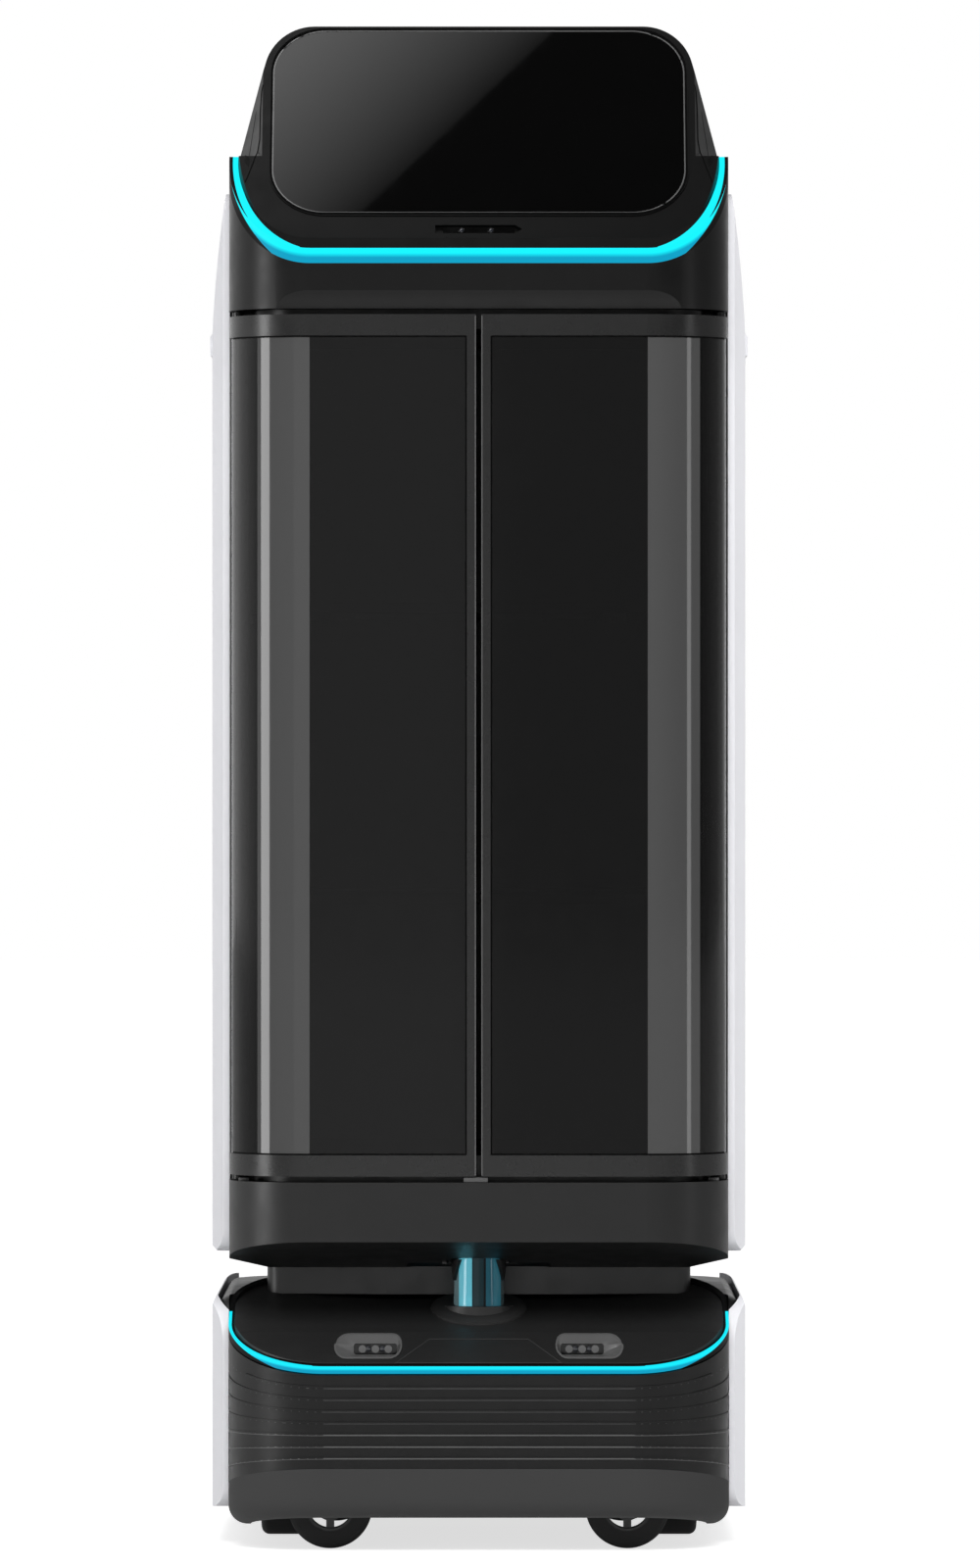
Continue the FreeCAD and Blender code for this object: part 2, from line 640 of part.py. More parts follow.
def make_neck(low, high):
    """Column between the chassis and the cabinet, its front bent at two upright edges."""
    points = [
        (-NECK_HALF, NECK_CORNER_DEPTH), (-NECK_FLAT_HALF, NECK_FRONT_DEPTH),
        (NECK_FLAT_HALF, NECK_FRONT_DEPTH), (NECK_HALF, NECK_CORNER_DEPTH),
        (NECK_HALF, NECK_REAR_DEPTH), (-NECK_HALF, NECK_REAR_DEPTH)]
    body = plan_prism(points, low, high)
    corners = [e for e in body.Edges if e.BoundBox.ZLength > 1.0
               and abs(abs(e.CenterOfMass.x) - NECK_HALF) < 0.01]
    return body.makeFillet(NECK_EDGE_ROUND, corners)


def deck_plane(z):
    """Depth at which the deck's front facet reaches a height."""
    return (z - STRIP_TOP) * DECK_CREASE_DEPTH / (DECK_CREASE_HEIGHT - STRIP_TOP)


def rounded_rectangle(x, z, width, height, radius, depth_of):
    """A wire round (x, z), each of whose points lies at the depth that depth_of gives for its height."""
    half_w, half_h = width / 2 - radius, height / 2 - radius
    centres = ((half_w, half_h, 0.0), (-half_w, half_h, 90.0), (-half_w, -half_h, 180.0), (half_w, -half_h, 270.0))
    steps = 6
    points = []
    for cx, cz, start in centres:
        for i in range(steps + 1):
            angle = math.radians(start + 90.0 * i / steps)
            height_here = z + cz + radius * math.sin(angle)
            points.append(vec(x + cx + radius * math.cos(angle), at_depth(depth_of(height_here)), height_here))
    return Part.makePolygon(points + points[:1])


def pod_funnel(grow, depth):
    """Loft from a camera pod's mouth in the deck's front facet to its window."""
    mouth = rounded_rectangle(POD_X, POD_Z, POD_WIDTH + 2 * grow, POD_HEIGHT + 2 * grow,
                              POD_HEIGHT / 2 - 0.5 + grow, lambda z: deck_plane(z) - 4.0)
    window = rounded_rectangle(POD_WINDOW_X, POD_WINDOW_Z, POD_WINDOW_WIDTH + 2 * grow,
                               POD_WINDOW_HEIGHT + 2 * grow, 2.5 + grow, lambda z: depth)
    return Part.makeLoft([mouth, window], True, True)


def make_camera_pod():
    """Depth-camera pod on the +X side: a funnel, a window and three lenses."""
    body = pod_funnel(POD_WALL, POD_WINDOW_DEPTH + 3.0).common(below_deck_top())
    pod = body.cut(pod_funnel(0.0, POD_WINDOW_DEPTH))
    for offset in POD_LENS_OFFSETS:
        lens = Part.makeCylinder(POD_LENS_RADIUS, 2.0, vec(POD_WINDOW_X + offset, at_depth(POD_WINDOW_DEPTH - 1.0),
                                                          POD_WINDOW_Z), vec(0, 1, 0))
        pod = pod.fuse(lens)
    return pod


def make_deck():
    """Deck cover inside the light strip, with the nose plate and the lidar's boss."""
    deck = deck_prism(LOWER_STRIP_WIDTH + FIT, BAND_TOP - 10.0, FAR).common(below_deck_top()).cut(below_rim())
    nose = front_prism([(-NOSE_HALF_LOW, NOSE_LOW), (-NOSE_HALF_HIGH, NOSE_HIGH),
                        (NOSE_HALF_HIGH, NOSE_HIGH), (NOSE_HALF_LOW, NOSE_LOW)],
                       0.0, DECK_CREASE_DEPTH)
    nose = nose.common(below_deck_top(NOSE_PROUD)).cut(below_rim())
    boss = post(LIDAR_BOSS_RADIUS, 0.0, LIDAR_DEPTH, BAND_TOP, LIDAR_BOSS_TOP).cut(below_rim())
    seat = post(LIDAR_BOSS_RADIUS, 0.0, LIDAR_DEPTH, LIDAR_BOSS_TOP, TOP_HEIGHT)
    return fuse_all([deck, nose, boss]).cut(seat)


def make_lower_strip():
    """Light strip round the deck's rim."""
    ring = deck_prism(0.0, BAND_TOP - 10.0, FAR).cut(deck_prism(LOWER_STRIP_WIDTH, BAND_TOP - 11.0, FAR + 1.0))
    return ring.common(below_slope(STRIP_TOP, RIM_RISE)).cut(below_slope(STRIP_BOTTOM, RIM_RISE))


def make_battery():
    """Battery block on the frame plate."""
    width, length, height = BATTERY_SIZE
    base = PLATE_BOTTOM + PLATE_THICKNESS
    return block((-width / 2, width / 2), ((BODY_DEPTH - length) / 2, (BODY_DEPTH + length) / 2),
                 (base, base + height))


# Cabinet

def hinge_posts(radius, low, high):
    """Cylinders about both doors' hinge axes."""
    return both_sides(post(radius, DOOR_AXIS_X, DOOR_AXIS_DEPTH, low, high))


def underside_line(lift=0.0):
    """The cabinet's underside as (depth, z) points."""
    rise = (UNDERSIDE - UNDERSIDE_FRONT) / UNDERSIDE_FLAT_DEPTH
    return [(-20.0, UNDERSIDE_FRONT - 20.0 * rise + lift), (UNDERSIDE_FLAT_DEPTH, UNDERSIDE + lift),
            (BODY_DEPTH + 20.0, UNDERSIDE + lift)]


def lidar_recess():
    """Oval recess in the underside, round the lidar."""
    reach = LIDAR_RECESS_HALF - LIDAR_RECESS_RADIUS
    ends = [post(LIDAR_RECESS_RADIUS, x, LIDAR_DEPTH, 0.0, TOP_HEIGHT) for x in (-reach, reach)]
    middle = block((-reach, reach), (LIDAR_DEPTH - LIDAR_RECESS_RADIUS, LIDAR_DEPTH + LIDAR_RECESS_RADIUS),
                   (0.0, TOP_HEIGHT))
    return fuse_all(ends + [middle]).common(below(underside_line(LIDAR_RECESS_HEIGHT)))


def make_lidar_clip():
    """Small three-cornered clip that hugs the lidar's top on the +X side."""
    top = UNDERSIDE + 2 * LIDAR_RECESS_HEIGHT
    inner = LIDAR_FOOT_RADIUS
    wedge = Part.Face(Part.makePolygon([
        vec(inner - 6.0, -CLIP_WIDTH / 2, top), vec(inner - 6.0, CLIP_WIDTH / 2, top),
        vec(inner - 6.0, 0, UNDERSIDE - CLIP_DROP), vec(inner - 6.0, -CLIP_WIDTH / 2, top)]))
    wedge = wedge.extrude(vec(20.0, 0, 0))
    ring = Part.makeCylinder(inner + CLIP_THICKNESS, 40.0, vec(0, 0, top - 40.0))
    ring = ring.cut(Part.makeCylinder(inner - FIT, 42.0, vec(0, 0, top - 41.0)))
    clip = wedge.common(ring)
    clip.rotate(vec(0, 0, 0), vec(0, 0, 1), -CLIP_ANGLE)
    clip.translate(vec(0, at_depth(LIDAR_DEPTH), 0))
    return clip


def make_lower_housing():
    """Lower housing: sloping underside, lidar recess and clips, cabin floor."""
    body = cabin_prism(0.0, UNDERSIDE - 20.0, LOWER_HOUSING_TOP)
    body = body.cut(below(underside_line()))
    lift = UNDERSIDE + UNDERSIDE_EDGE_LIFT
    for side in (-1.0, 1.0):
        body = body.cut(front_prism([(side * UNDERSIDE_FLAT_HALF, UNDERSIDE), (side * CABIN_HALF, lift),
                                     (side * (CABIN_HALF + 20.0), lift), (side * (CABIN_HALF + 20.0), UNDERSIDE)],
                                    -20.0, BODY_DEPTH))
    body = body.cut(lidar_recess())
    floor = cabin_prism(INNER_INSET, LOWER_HOUSING_TOP - 1.0, FLOOR_TOP)
    rear = cabin_prism(0.0, LOWER_HOUSING_TOP - 1.0, FLOOR_TOP).common(behind(WALL_FRONT_DEPTH))
    clip = make_lidar_clip()
    body = fuse_all([body, floor, rear, clip, mirrored(clip)])
    relief = DOOR_THICKNESS / 2 + DOOR_SWING_CLEARANCE
    body = body.cut(hinge_posts(relief, LOWER_HOUSING_TOP, FLOOR_TOP + 1.0))
    return body.cut(hinge_posts(HINGE_PIN_RADIUS + RUNNING_CLEARANCE,
                                LOWER_HOUSING_TOP - HINGE_PIN_LENGTH - 1.0, FLOOR_TOP))


def make_lidar_window():
    """Tinted lidar column, slightly narrower at its top."""
    height = UNDERSIDE_FRONT - LIDAR_BOSS_TOP
    window = Part.makeCone(LIDAR_FOOT_RADIUS, LIDAR_TOP_RADIUS, height,
                           vec(0, at_depth(LIDAR_DEPTH), LIDAR_BOSS_TOP))
    return window.common(below(underside_line(LIDAR_RECESS_HEIGHT)))


def make_cabin_wall():
    """Side wall of the cabin on the +X side."""
    return cabin_prism(0.0, FLOOR_TOP, CEILING).common(
        block((CABIN_INNER_HALF, FAR), (WALL_FRONT_DEPTH, CABIN_BACK_DEPTH), (0.0, FAR)))


def make_cabin_back():
    """Rear wall of the cabinet, which houses the wiring."""
    return cabin_prism(0.0, FLOOR_TOP, CEILING).common(behind(CABIN_BACK_DEPTH))


def inside_cabin(low, high):
    """The cabin's inner plan between two heights."""
    whole = cabin_prism(INNER_INSET, low, high).cut(behind(CABIN_BACK_DEPTH))
    front = whole.cut(behind(WALL_FRONT_DEPTH - FIT))
    rear = whole.common(block((FIT - CABIN_INNER_HALF, CABIN_INNER_HALF - FIT), (0.0, FAR), (0.0, FAR)))
    return fuse_all([front, rear])


def make_shelf(top, with_tabs):
    """Shelf board whose front follows the doors, if wanted with two tabs under its front edge."""
    board = inside_cabin(top - SHELF_THICKNESS, top)
    if not with_tabs:
        return board
    depth = CABIN_FRONT_RADIUS
    low = top - SHELF_THICKNESS - SHELF_TAB_HEIGHT
    tab = block((SHELF_TAB_X - SHELF_TAB_WIDTH / 2, SHELF_TAB_X + SHELF_TAB_WIDTH / 2),
                (depth, depth + SHELF_TAB_THICKNESS), (low, top - 1.0))
    hole = Part.makeCylinder(SHELF_TAB_HOLE, SHELF_TAB_THICKNESS + 2.0,
                             vec(SHELF_TAB_X, at_depth(depth - 1.0), low + SHELF_TAB_HEIGHT / 2), vec(0, 1, 0))
    tab = tab.cut(hole)
    return fuse_all([board, tab, mirrored(tab)])


def make_upper_housing():
    """Housing above the doors: scooped under its front, cut off by the light strip's plane."""
    body = cabin_prism(0.0, UPPER_HOUSING_BOTTOM, CHEEK_TOP).common(
        below_slope(UPPER_STRIP_BOTTOM, UPPER_RISE))
    ceiling = cabin_prism(INNER_INSET, CEILING, UPPER_HOUSING_BOTTOM + 1.0)
    rear = cabin_prism(0.0, CEILING, UPPER_HOUSING_BOTTOM + 1.0).common(behind(WALL_FRONT_DEPTH))
    body = fuse_all([body, ceiling, rear])
    scoop_height = SCOOP_TOP - UPPER_HOUSING_BOTTOM
    chord = math.hypot(scoop_height, SCOOP_DEPTH)
    reach = math.sqrt(SCOOP_RADIUS ** 2 - chord ** 2 / 4)
    centre_depth = SCOOP_DEPTH / 2 - reach * scoop_height / chord
    centre_z = UPPER_HOUSING_BOTTOM + scoop_height / 2 - reach * SCOOP_DEPTH / chord
    scoop = Part.makeCylinder(SCOOP_RADIUS, 2 * CABIN_HALF, vec(-CABIN_HALF, at_depth(centre_depth), centre_z),
                              vec(1, 0, 0))
    body = body.cut(scoop.common(block((-FAR, FAR), (-FAR, SCOOP_DEPTH), (UPPER_HOUSING_BOTTOM, FAR))))
    relief = DOOR_THICKNESS / 2 + DOOR_SWING_CLEARANCE
    body = body.cut(hinge_posts(relief, CEILING - 1.0, UPPER_HOUSING_BOTTOM))
    return body.cut(hinge_posts(HINGE_PIN_RADIUS + RUNNING_CLEARANCE, CEILING,
                                UPPER_HOUSING_BOTTOM + HINGE_PIN_LENGTH + 1.0))


def make_upper_strip():
    """Light strip between the upper housing and the head."""
    ring = cabin_prism(0.0, UPPER_STRIP_BOTTOM - 20.0, CHEEK_TOP)
    ring = ring.cut(cabin_prism(UPPER_STRIP_WIDTH, UPPER_STRIP_BOTTOM - 21.0, FAR))
    strip = ring.common(below_slope(UPPER_STRIP_TOP, UPPER_RISE))
    return strip.cut(below_slope(UPPER_STRIP_BOTTOM, UPPER_RISE))


def screen_depth(z):
    """Depth of the screen's plane at a height."""
    return UPPER_STRIP_WIDTH + (z - UPPER_STRIP_TOP) / SCREEN_RISE


def head_silhouette():
    """The head's front view, extruded through the whole robot."""
    lean = math.radians(HEAD_SIDE_LEAN)
    centre_z = TOP_HEIGHT - HEAD_CORNER
    side_at_centre = HEAD_SIDE_BASE - (centre_z - CHEEK_TOP) * math.tan(lean)
    centre_x = side_at_centre - HEAD_CORNER / math.cos(lean)

    def on_corner(angle):
        return vec(centre_x + HEAD_CORNER * math.cos(angle), 0, centre_z + HEAD_CORNER * math.sin(angle))

    inner = CABIN_HALF - HEAD_INSET
    right = [vec(inner, 0, UPPER_STRIP_BOTTOM - 20.0), vec(inner, 0, CHEEK_TOP - 4.0),
             vec(HEAD_SIDE_BASE, 0, CHEEK_TOP), on_corner(lean)]
    middle, top = on_corner((lean + math.pi / 2) / 2), on_corner(math.pi / 2)

    def flip(point):
        return vec(-point.x, 0, point.z)

    edges = [Part.makeLine(a, b) for a, b in zip(right, right[1:]) if (a - b).Length > 0.01]
    edges += [Part.Arc(right[-1], middle, top).toShape(), Part.makeLine(top, flip(top)),
              Part.Arc(flip(top), flip(middle), flip(right[-1])).toShape()]
    edges += [Part.makeLine(flip(b), flip(a)) for a, b in reversed(list(zip(right, right[1:])))
              if (a - b).Length > 0.01]
    edges.append(Part.makeLine(flip(right[0]), right[0]))
    face = Part.Face(Part.Wire(edges))
    face.translate(vec(0, at_depth(-20.0), 0))
    return face.extrude(vec(0, BODY_DEPTH, 0))


def on_screen(shape, z, lift):
    """Moves a shape drawn flat (X across, Y up the slope, Z outwards) to a height on the screen's plane."""
    placed = shape.copy()
    placed.rotate(vec(0, 0, 0), vec(1, 0, 0), 90.0 - SCREEN_TILT)
    tilt = math.radians(SCREEN_TILT)
    outwards = vec(0, -math.cos(tilt), math.sin(tilt))
    placed.translate(vec(0, at_depth(screen_depth(z)), z) + outwards * lift)
    return placed


def make_head():
    """Head that carries the screen: tapered, with its front in the screen's plane."""
    face_line = [(screen_depth(UPPER_STRIP_BOTTOM - 20.0), UPPER_STRIP_BOTTOM - 20.0),
                 (screen_depth(TOP_HEIGHT), TOP_HEIGHT), (HEAD_REAR_TOP_DEPTH, TOP_HEIGHT),
                 (HEAD_REAR_BASE_DEPTH, CHEEK_TOP), (HEAD_REAR_BASE_DEPTH, UPPER_STRIP_BOTTOM - 20.0)]
    body = head_silhouette().common(side_slab(face_line, -FAR, FAR))
    depth = BODY_DEPTH + TOP_HEIGHT - CHEEK_TOP
    spread = depth * math.tan(math.radians(HEAD_FACE_TAPER))
    wedge = Part.Face(Part.makePolygon([
        vec(-HEAD_FACE_HALF, -200.0, 0), vec(HEAD_FACE_HALF, -200.0, 0),
        vec(HEAD_FACE_HALF + spread, -200.0, -depth), vec(-HEAD_FACE_HALF - spread, -200.0, -depth),
        vec(-HEAD_FACE_HALF, -200.0, 0)]))
    wedge = wedge.extrude(vec(0, 800.0, 0))
    wedge = on_screen(wedge, CHEEK_TOP, 0.0)
    upper = body.common(wedge)
    rear_round = outline(HEAD_SIDE_BASE + 4.0, HEAD_INSET - 6.0, HEAD_REAR_BASE_DEPTH,
                         CABIN_FRONT_RADIUS - HEAD_INSET, CABIN_REAR_RADIUS)
    upper = upper.common(prism(rear_round, CHEEK_TOP, FAR))
    lower = body.common(cabin_prism(HEAD_INSET, UPPER_STRIP_BOTTOM - 20.0, CHEEK_TOP))
    lower = lower.cut(below_slope(UPPER_STRIP_BOTTOM, UPPER_RISE))
    return lower.fuse(upper).removeSplitter()


def screen_plate(grow, thickness):
    """Rounded plate of the screen's size, drawn flat with its lower edge at Y 0."""
    plate = Part.makeBox(SCREEN_WIDTH + 2 * grow, SCREEN_LENGTH + 2 * grow, thickness,
                         vec(-SCREEN_WIDTH / 2 - grow, -grow, 0))
    upright = [e for e in plate.Edges if e.BoundBox.ZLength > thickness / 2]
    return plate.makeFillet(SCREEN_CORNER + grow, upright)


def make_face_camera():
    """Sensor bar with two lenses in the chin's slot."""
    width = CHIN_SLOT_WIDTH - 14.0
    bar = Part.makeBox(width, CHIN_SLOT_HEIGHT - 2.0, CHIN_SLOT_DEEP - 1.5,
                       vec(-width / 2, 1.0 - CHIN_SLOT_HEIGHT / 2, 0))
    pieces = [bar] + [Part.makeCylinder(CHIN_LENS_RADIUS, CHIN_SLOT_DEEP - 0.5, vec(x, 0, 0))
                      for x in CHIN_LENSES]
    return on_screen(fuse_all(pieces), CHIN_SLOT_Z, -CHIN_SLOT_DEEP)


def chin_slot():
    """Slot under the screen with slanted ends."""
    half, height = CHIN_SLOT_WIDTH / 2, CHIN_SLOT_HEIGHT
    points = [vec(-half, -height / 2, 0), vec(half - 6.0, -height / 2, 0), vec(half, 0, 0),
              vec(half - 6.0, height / 2, 0), vec(-half, height / 2, 0), vec(-half, -height / 2, 0)]
    slot = Part.Face(Part.makePolygon(points)).extrude(vec(0, 0, CHIN_SLOT_DEEP + 10.0))
    return on_screen(slot, CHIN_SLOT_Z, -CHIN_SLOT_DEEP)


# Doors

def door_band(inset, thickness, low, high):
    """The stretch of the cabinet's outline that the +X door covers, as an upright wall."""
    ring = cabin_prism(inset, low, high).cut(cabin_prism(inset + thickness, low - 1.0, high + 1.0))
    return ring.common(block((DOOR_CENTRE_GAP / 2, FAR), (-20.0, DOOR_AXIS_DEPTH), (0.0, FAR)))


def make_door_pane():
    """Curved smoked pane of the +X door."""
    low = DOOR_BOTTOM + DOOR_RAIL - DOOR_GLASS_BITE
    high = DOOR_TOP - DOOR_RAIL + DOOR_GLASS_BITE
    start = DOOR_CENTRE_GAP / 2 + DOOR_STILE - DOOR_GLASS_BITE
    pane = door_band(DOOR_GLASS_INSET, DOOR_GLASS, low, high)
    return pane.common(block((start, FAR), (-20.0, DOOR_AXIS_DEPTH - 1.0), (0.0, FAR)))


def make_door_frame(pane):
    """Rails, centre stile, hinge post, collars and pins of the +X door."""
    bottom = door_band(0.0, DOOR_THICKNESS, DOOR_BOTTOM, DOOR_BOTTOM + DOOR_RAIL)
    top = door_band(0.0, DOOR_THICKNESS, DOOR_TOP - DOOR_RAIL, DOOR_TOP)
    stile = block((DOOR_CENTRE_GAP / 2, DOOR_CENTRE_GAP / 2 + DOOR_STILE), (0.0, DOOR_THICKNESS),
                  (DOOR_BOTTOM, DOOR_TOP))
    x, depth = DOOR_AXIS_X, DOOR_AXIS_DEPTH
    hinge_post = post(DOOR_THICKNESS / 2, x, depth, DOOR_BOTTOM, DOOR_TOP)
    collar = post(HINGE_COLLAR_RADIUS, x, depth, LOWER_HOUSING_TOP + FIT, UPPER_HOUSING_BOTTOM - FIT)
    pin = post(HINGE_PIN_RADIUS, x, depth, LOWER_HOUSING_TOP - HINGE_PIN_LENGTH,
               UPPER_HOUSING_BOTTOM + HINGE_PIN_LENGTH)
    return fuse_all([bottom, top, stile, hinge_post, collar, pin]).cut(pane)


def make_corner_band():
    """Opaque band behind the curved corner of the +X door's pane."""
    inset = DOOR_GLASS_INSET + DOOR_GLASS + FIT
    band = door_band(inset, CORNER_BAND_THICKNESS, DOOR_BOTTOM + DOOR_RAIL, DOOR_TOP - DOOR_RAIL)
    return band.common(block((CORNER_BAND_START, CORNER_BAND_END), (-20.0, CABIN_FRONT_RADIUS), (0.0, FAR)))


# White covers

def cover_section(inner):
    """Plan section of a cover on the +X side, with its chamfer carried on past the front."""
    outer = CABIN_HALF + COVER_PROUD
    lead = COVER_CHAMFER / 2
    return [(inner, COVER_FRONT_DEPTH - lead), (outer - 1.5 * COVER_STEP, COVER_FRONT_DEPTH - lead),
            (outer, COVER_FRONT_DEPTH + COVER_CHAMFER), (outer, COVER_REAR_DEPTH - 12.0),
            (outer - 8.0, COVER_REAR_DEPTH), (inner, COVER_REAR_DEPTH)]


def rounded_side(low, high, bottom_round, top_round):
    """Side view of a cover with rounded front corners, extruded on the +X side."""
    front, rear = COVER_FRONT_DEPTH, COVER_REAR_DEPTH + 1.0
    slab = side_slab([(front, low), (rear, low), (rear, high), (front, high)], 0.0, FAR)
    for z, radius in ((low, bottom_round), (high, top_round)):
        edges = [e for e in slab.Edges if e.BoundBox.XLength > 1.0 and abs(e.BoundBox.ZMin - z) < 0.01
                 and abs(e.BoundBox.YMin - at_depth(front)) < 0.01]
        slab = slab.makeFillet(radius, edges)
    return slab


def side_cover_profile():
    """Front view of the side cover on the +X side: chamfered foot, bend and thin top."""
    inner, outer, spare = CABIN_HALF - FIT, CABIN_HALF + COVER_PROUD, COVER_STEP
    bend = [vec(outer, 0, SIDE_COVER_BEND_LOW),
            vec(CABIN_HALF + SIDE_COVER_MIDDLE_PROUD, 0, SIDE_COVER_BEND_MIDDLE),
            vec(CABIN_HALF + SIDE_COVER_TOP_PROUD, 0, SIDE_COVER_TOP)]
    foot = [vec(outer, 0, SIDE_COVER_BOTTOM + COVER_FOOT),
            vec(outer - 2 * COVER_FOOT, 0, SIDE_COVER_BOTTOM - COVER_FOOT),
            vec(inner, 0, SIDE_COVER_BOTTOM - COVER_FOOT)]
    head = [vec(inner, 0, SIDE_COVER_TOP + spare), vec(bend[2].x, 0, SIDE_COVER_TOP + spare)]
    edges = [Part.makeLine(foot[2], foot[1]), Part.makeLine(foot[1], foot[0]), Part.makeLine(foot[0], bend[0]),
             Part.Arc(*bend).toShape(), Part.makeLine(bend[2], head[1]), Part.makeLine(head[1], head[0]),
             Part.makeLine(head[0], foot[2])]
    profile = Part.Face(Part.Wire(edges))
    profile.translate(vec(0, at_depth(0.0), 0))
    return profile.extrude(vec(0, BODY_DEPTH, 0))


def make_side_cover():
    """Long white cover on the +X side, thinner towards its top, with a grip."""
    outer = CABIN_HALF + COVER_PROUD
    cover = plan_prism(cover_section(CABIN_HALF + FIT), 0.0, FAR).common(side_cover_profile())
    cover = cover.common(rounded_side(SIDE_COVER_BOTTOM, SIDE_COVER_TOP, COVER_CORNER, COVER_CORNER))
    grip = front_prism([(outer - 6.0, GRIP_LOW), (outer + GRIP_PROUD, GRIP_LOW + 6.0),
                        (outer + GRIP_PROUD, GRIP_LOW + 22.0), (outer - 6.0, GRIP_HIGH)],
                       GRIP_START_DEPTH, GRIP_END_DEPTH)
    return cover.fuse(grip)


def make_wheel_cover():
    """White cover over the drive wheel on the +X side, wrapped round the shoulder."""
    inner, outer = CHASSIS_HALF + FIT, CABIN_HALF + COVER_PROUD
    cover = plan_prism(cover_section(inner), 0.0, FAR)
    cover = cover.common(rounded_side(WHEEL_COVER_BOTTOM, WHEEL_COVER_TOP, COVER_CORNER, WHEEL_COVER_CORNER))
    profile = front_prism([(0.0, 0.0), (outer, 0.0), (outer, WHEEL_COVER_TOP), (0.0, WHEEL_COVER_TOP)],
                          0.0, BODY_DEPTH)
    top_edge = [e for e in profile.Edges if e.BoundBox.YLength > 1.0
                and e.BoundBox.ZMin > WHEEL_COVER_TOP - 0.01 and e.BoundBox.XMin > outer - 0.01]
    cover = cover.common(profile.makeFillet(WHEEL_COVER_TOP_ROUND, top_edge))
    shoulder_space = prism(outline(SHOULDER_HALF + FIT, SHOULDER_FRONT_DEPTH - FIT, SHOULDER_REAR_DEPTH + FIT,
                                   26.0 + FIT, 26.0 + FIT), SHOULDER_BOTTOM - FIT, FAR)
    return cover.cut(shoulder_space)


# Rear pieces

def make_rear_panel():
    """Service panel on the cabinet's back."""
    depth = CABIN_REAR_DEPTH
    panel = block((-REAR_PANEL_HALF, REAR_PANEL_HALF), (depth, depth + REAR_PANEL_PROUD),
                  (REAR_PANEL_LOW, REAR_PANEL_HIGH))
    corners = [e for e in panel.Edges if e.BoundBox.YLength > REAR_PANEL_PROUD / 2]
    return panel.makeFillet(REAR_PANEL_CORNER, corners)


def backwards(radius, length, x, z, start=CABIN_REAR_DEPTH):
    """A cylinder that points backwards from a depth."""
    return Part.makeCylinder(radius, length, vec(x, at_depth(start), z), vec(0, 1, 0))


def make_emergency_stop():
    """Mushroom button on the back of the upper housing, within the chassis's depth."""
    height = BODY_DEPTH - CABIN_REAR_DEPTH
    return backwards(STOP_BASE_RADIUS, height * 0.4, STOP_X, STOP_Z).fuse(
        backwards(STOP_BUTTON_RADIUS, height, STOP_X, STOP_Z))


def make_power_switch():
    """Round power switch beside the emergency stop."""
    return backwards(SWITCH_RADIUS, 3.0, SWITCH_X, STOP_Z)


def build_chassis():
    """Makes the chassis and stores its pieces."""
    pod_space = both_sides(pod_funnel(POD_WALL + FIT, POD_WINDOW_DEPTH + 3.0 + FIT))
    neck_space = make_neck(BAND_TOP, UNDERSIDE)
    shell = make_chassis_shell().cut(pod_space)
    keep("chassis_shell", shell)
    keep("bumper_skirt", make_skirt())
    keep("frame_plate", make_frame_plate())
    keep("under_pan", make_pan())
    keep("pan_posts", make_pan_posts())
    keep("battery_pack", make_battery())
    pod = make_camera_pod()
    keep("deck_cover", make_deck().cut(pod_space).cut(both_sides(pod)).cut(neck_space))
    keep_pair("camera_pod", pod)
    keep("lower_light_strip", make_lower_strip().cut(neck_space))
    keep("lidar_window", make_lidar_window())
    keep("neck", neck_space.cut(chassis_prism(-FIT, 0.0, CHASSIS_TOP)).cut(shell))
    keep_pair("drive_bracket", make_drive_bracket())
    keep_pair("drive_tyre", make_drive_tyre())
    keep_pair("drive_hub", make_drive_hub())
    keep_pair("wheel_cover", make_wheel_cover())
    keep("charge_contacts", make_charge_contacts())
    place_casters()


def build_cabinet():
    """Makes the cabinet, the doors and the head and stores their pieces."""
    keep("lower_housing", make_lower_housing())
    keep_pair("cabin_wall", make_cabin_wall())
    keep("cabin_back", make_cabin_back())
    upper, lower = SHELF_TOPS
    keep("shelf_upper", make_shelf(upper, True))
    keep("shelf_lower", make_shelf(lower, False))
    keep("upper_housing", make_upper_housing())
    keep("upper_light_strip", make_upper_strip())
    rim = on_screen(screen_plate(SCREEN_RIM, SCREEN_THICKNESS + SCREEN_RIM_PROUD), SCREEN_LOW, -SCREEN_THICKNESS)
    head = make_head().fuse(rim)
    pocket = on_screen(screen_plate(FIT, SCREEN_THICKNESS + 10.0), SCREEN_LOW, -SCREEN_THICKNESS)
    keep("head", head.cut(pocket).cut(chin_slot()))
    keep("screen_glass", on_screen(screen_plate(0.0, SCREEN_THICKNESS), SCREEN_LOW, -SCREEN_THICKNESS))
    keep("face_camera", make_face_camera())
    pane = make_door_pane()
    keep_pair("door_glass", pane)
    keep_pair("door_frame", make_door_frame(pane))
    keep_pair("door_band", make_corner_band())
    keep_pair("side_cover", make_side_cover())
    keep("rear_panel", make_rear_panel())
    keep("emergency_stop", make_emergency_stop())
    keep("power_switch", make_power_switch())


def export():
    """Writes one STEP file for each piece."""
    os.makedirs("parts", exist_ok=True)
    for name, shape in PARTS.items():
        solids = shape.Solids
        if not solids or not shape.isValid():
            print("not a valid solid:", name)
        whole = solids[0] if len(solids) == 1 else Part.makeCompound(solids)
        whole.exportStep(f"parts/{name}.step")


build_chassis()
build_cabinet()
export()
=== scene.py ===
"""Dresses the two-door delivery robot and sets up its studio."""

import logging
import math
from contextlib import contextmanager
from dataclasses import dataclass, field
from enum import Enum
from typing import Callable, Iterable, Iterator

import bmesh
import bpy
from mathutils import Matrix, Vector
from mathutils.bvhtree import BVHTree


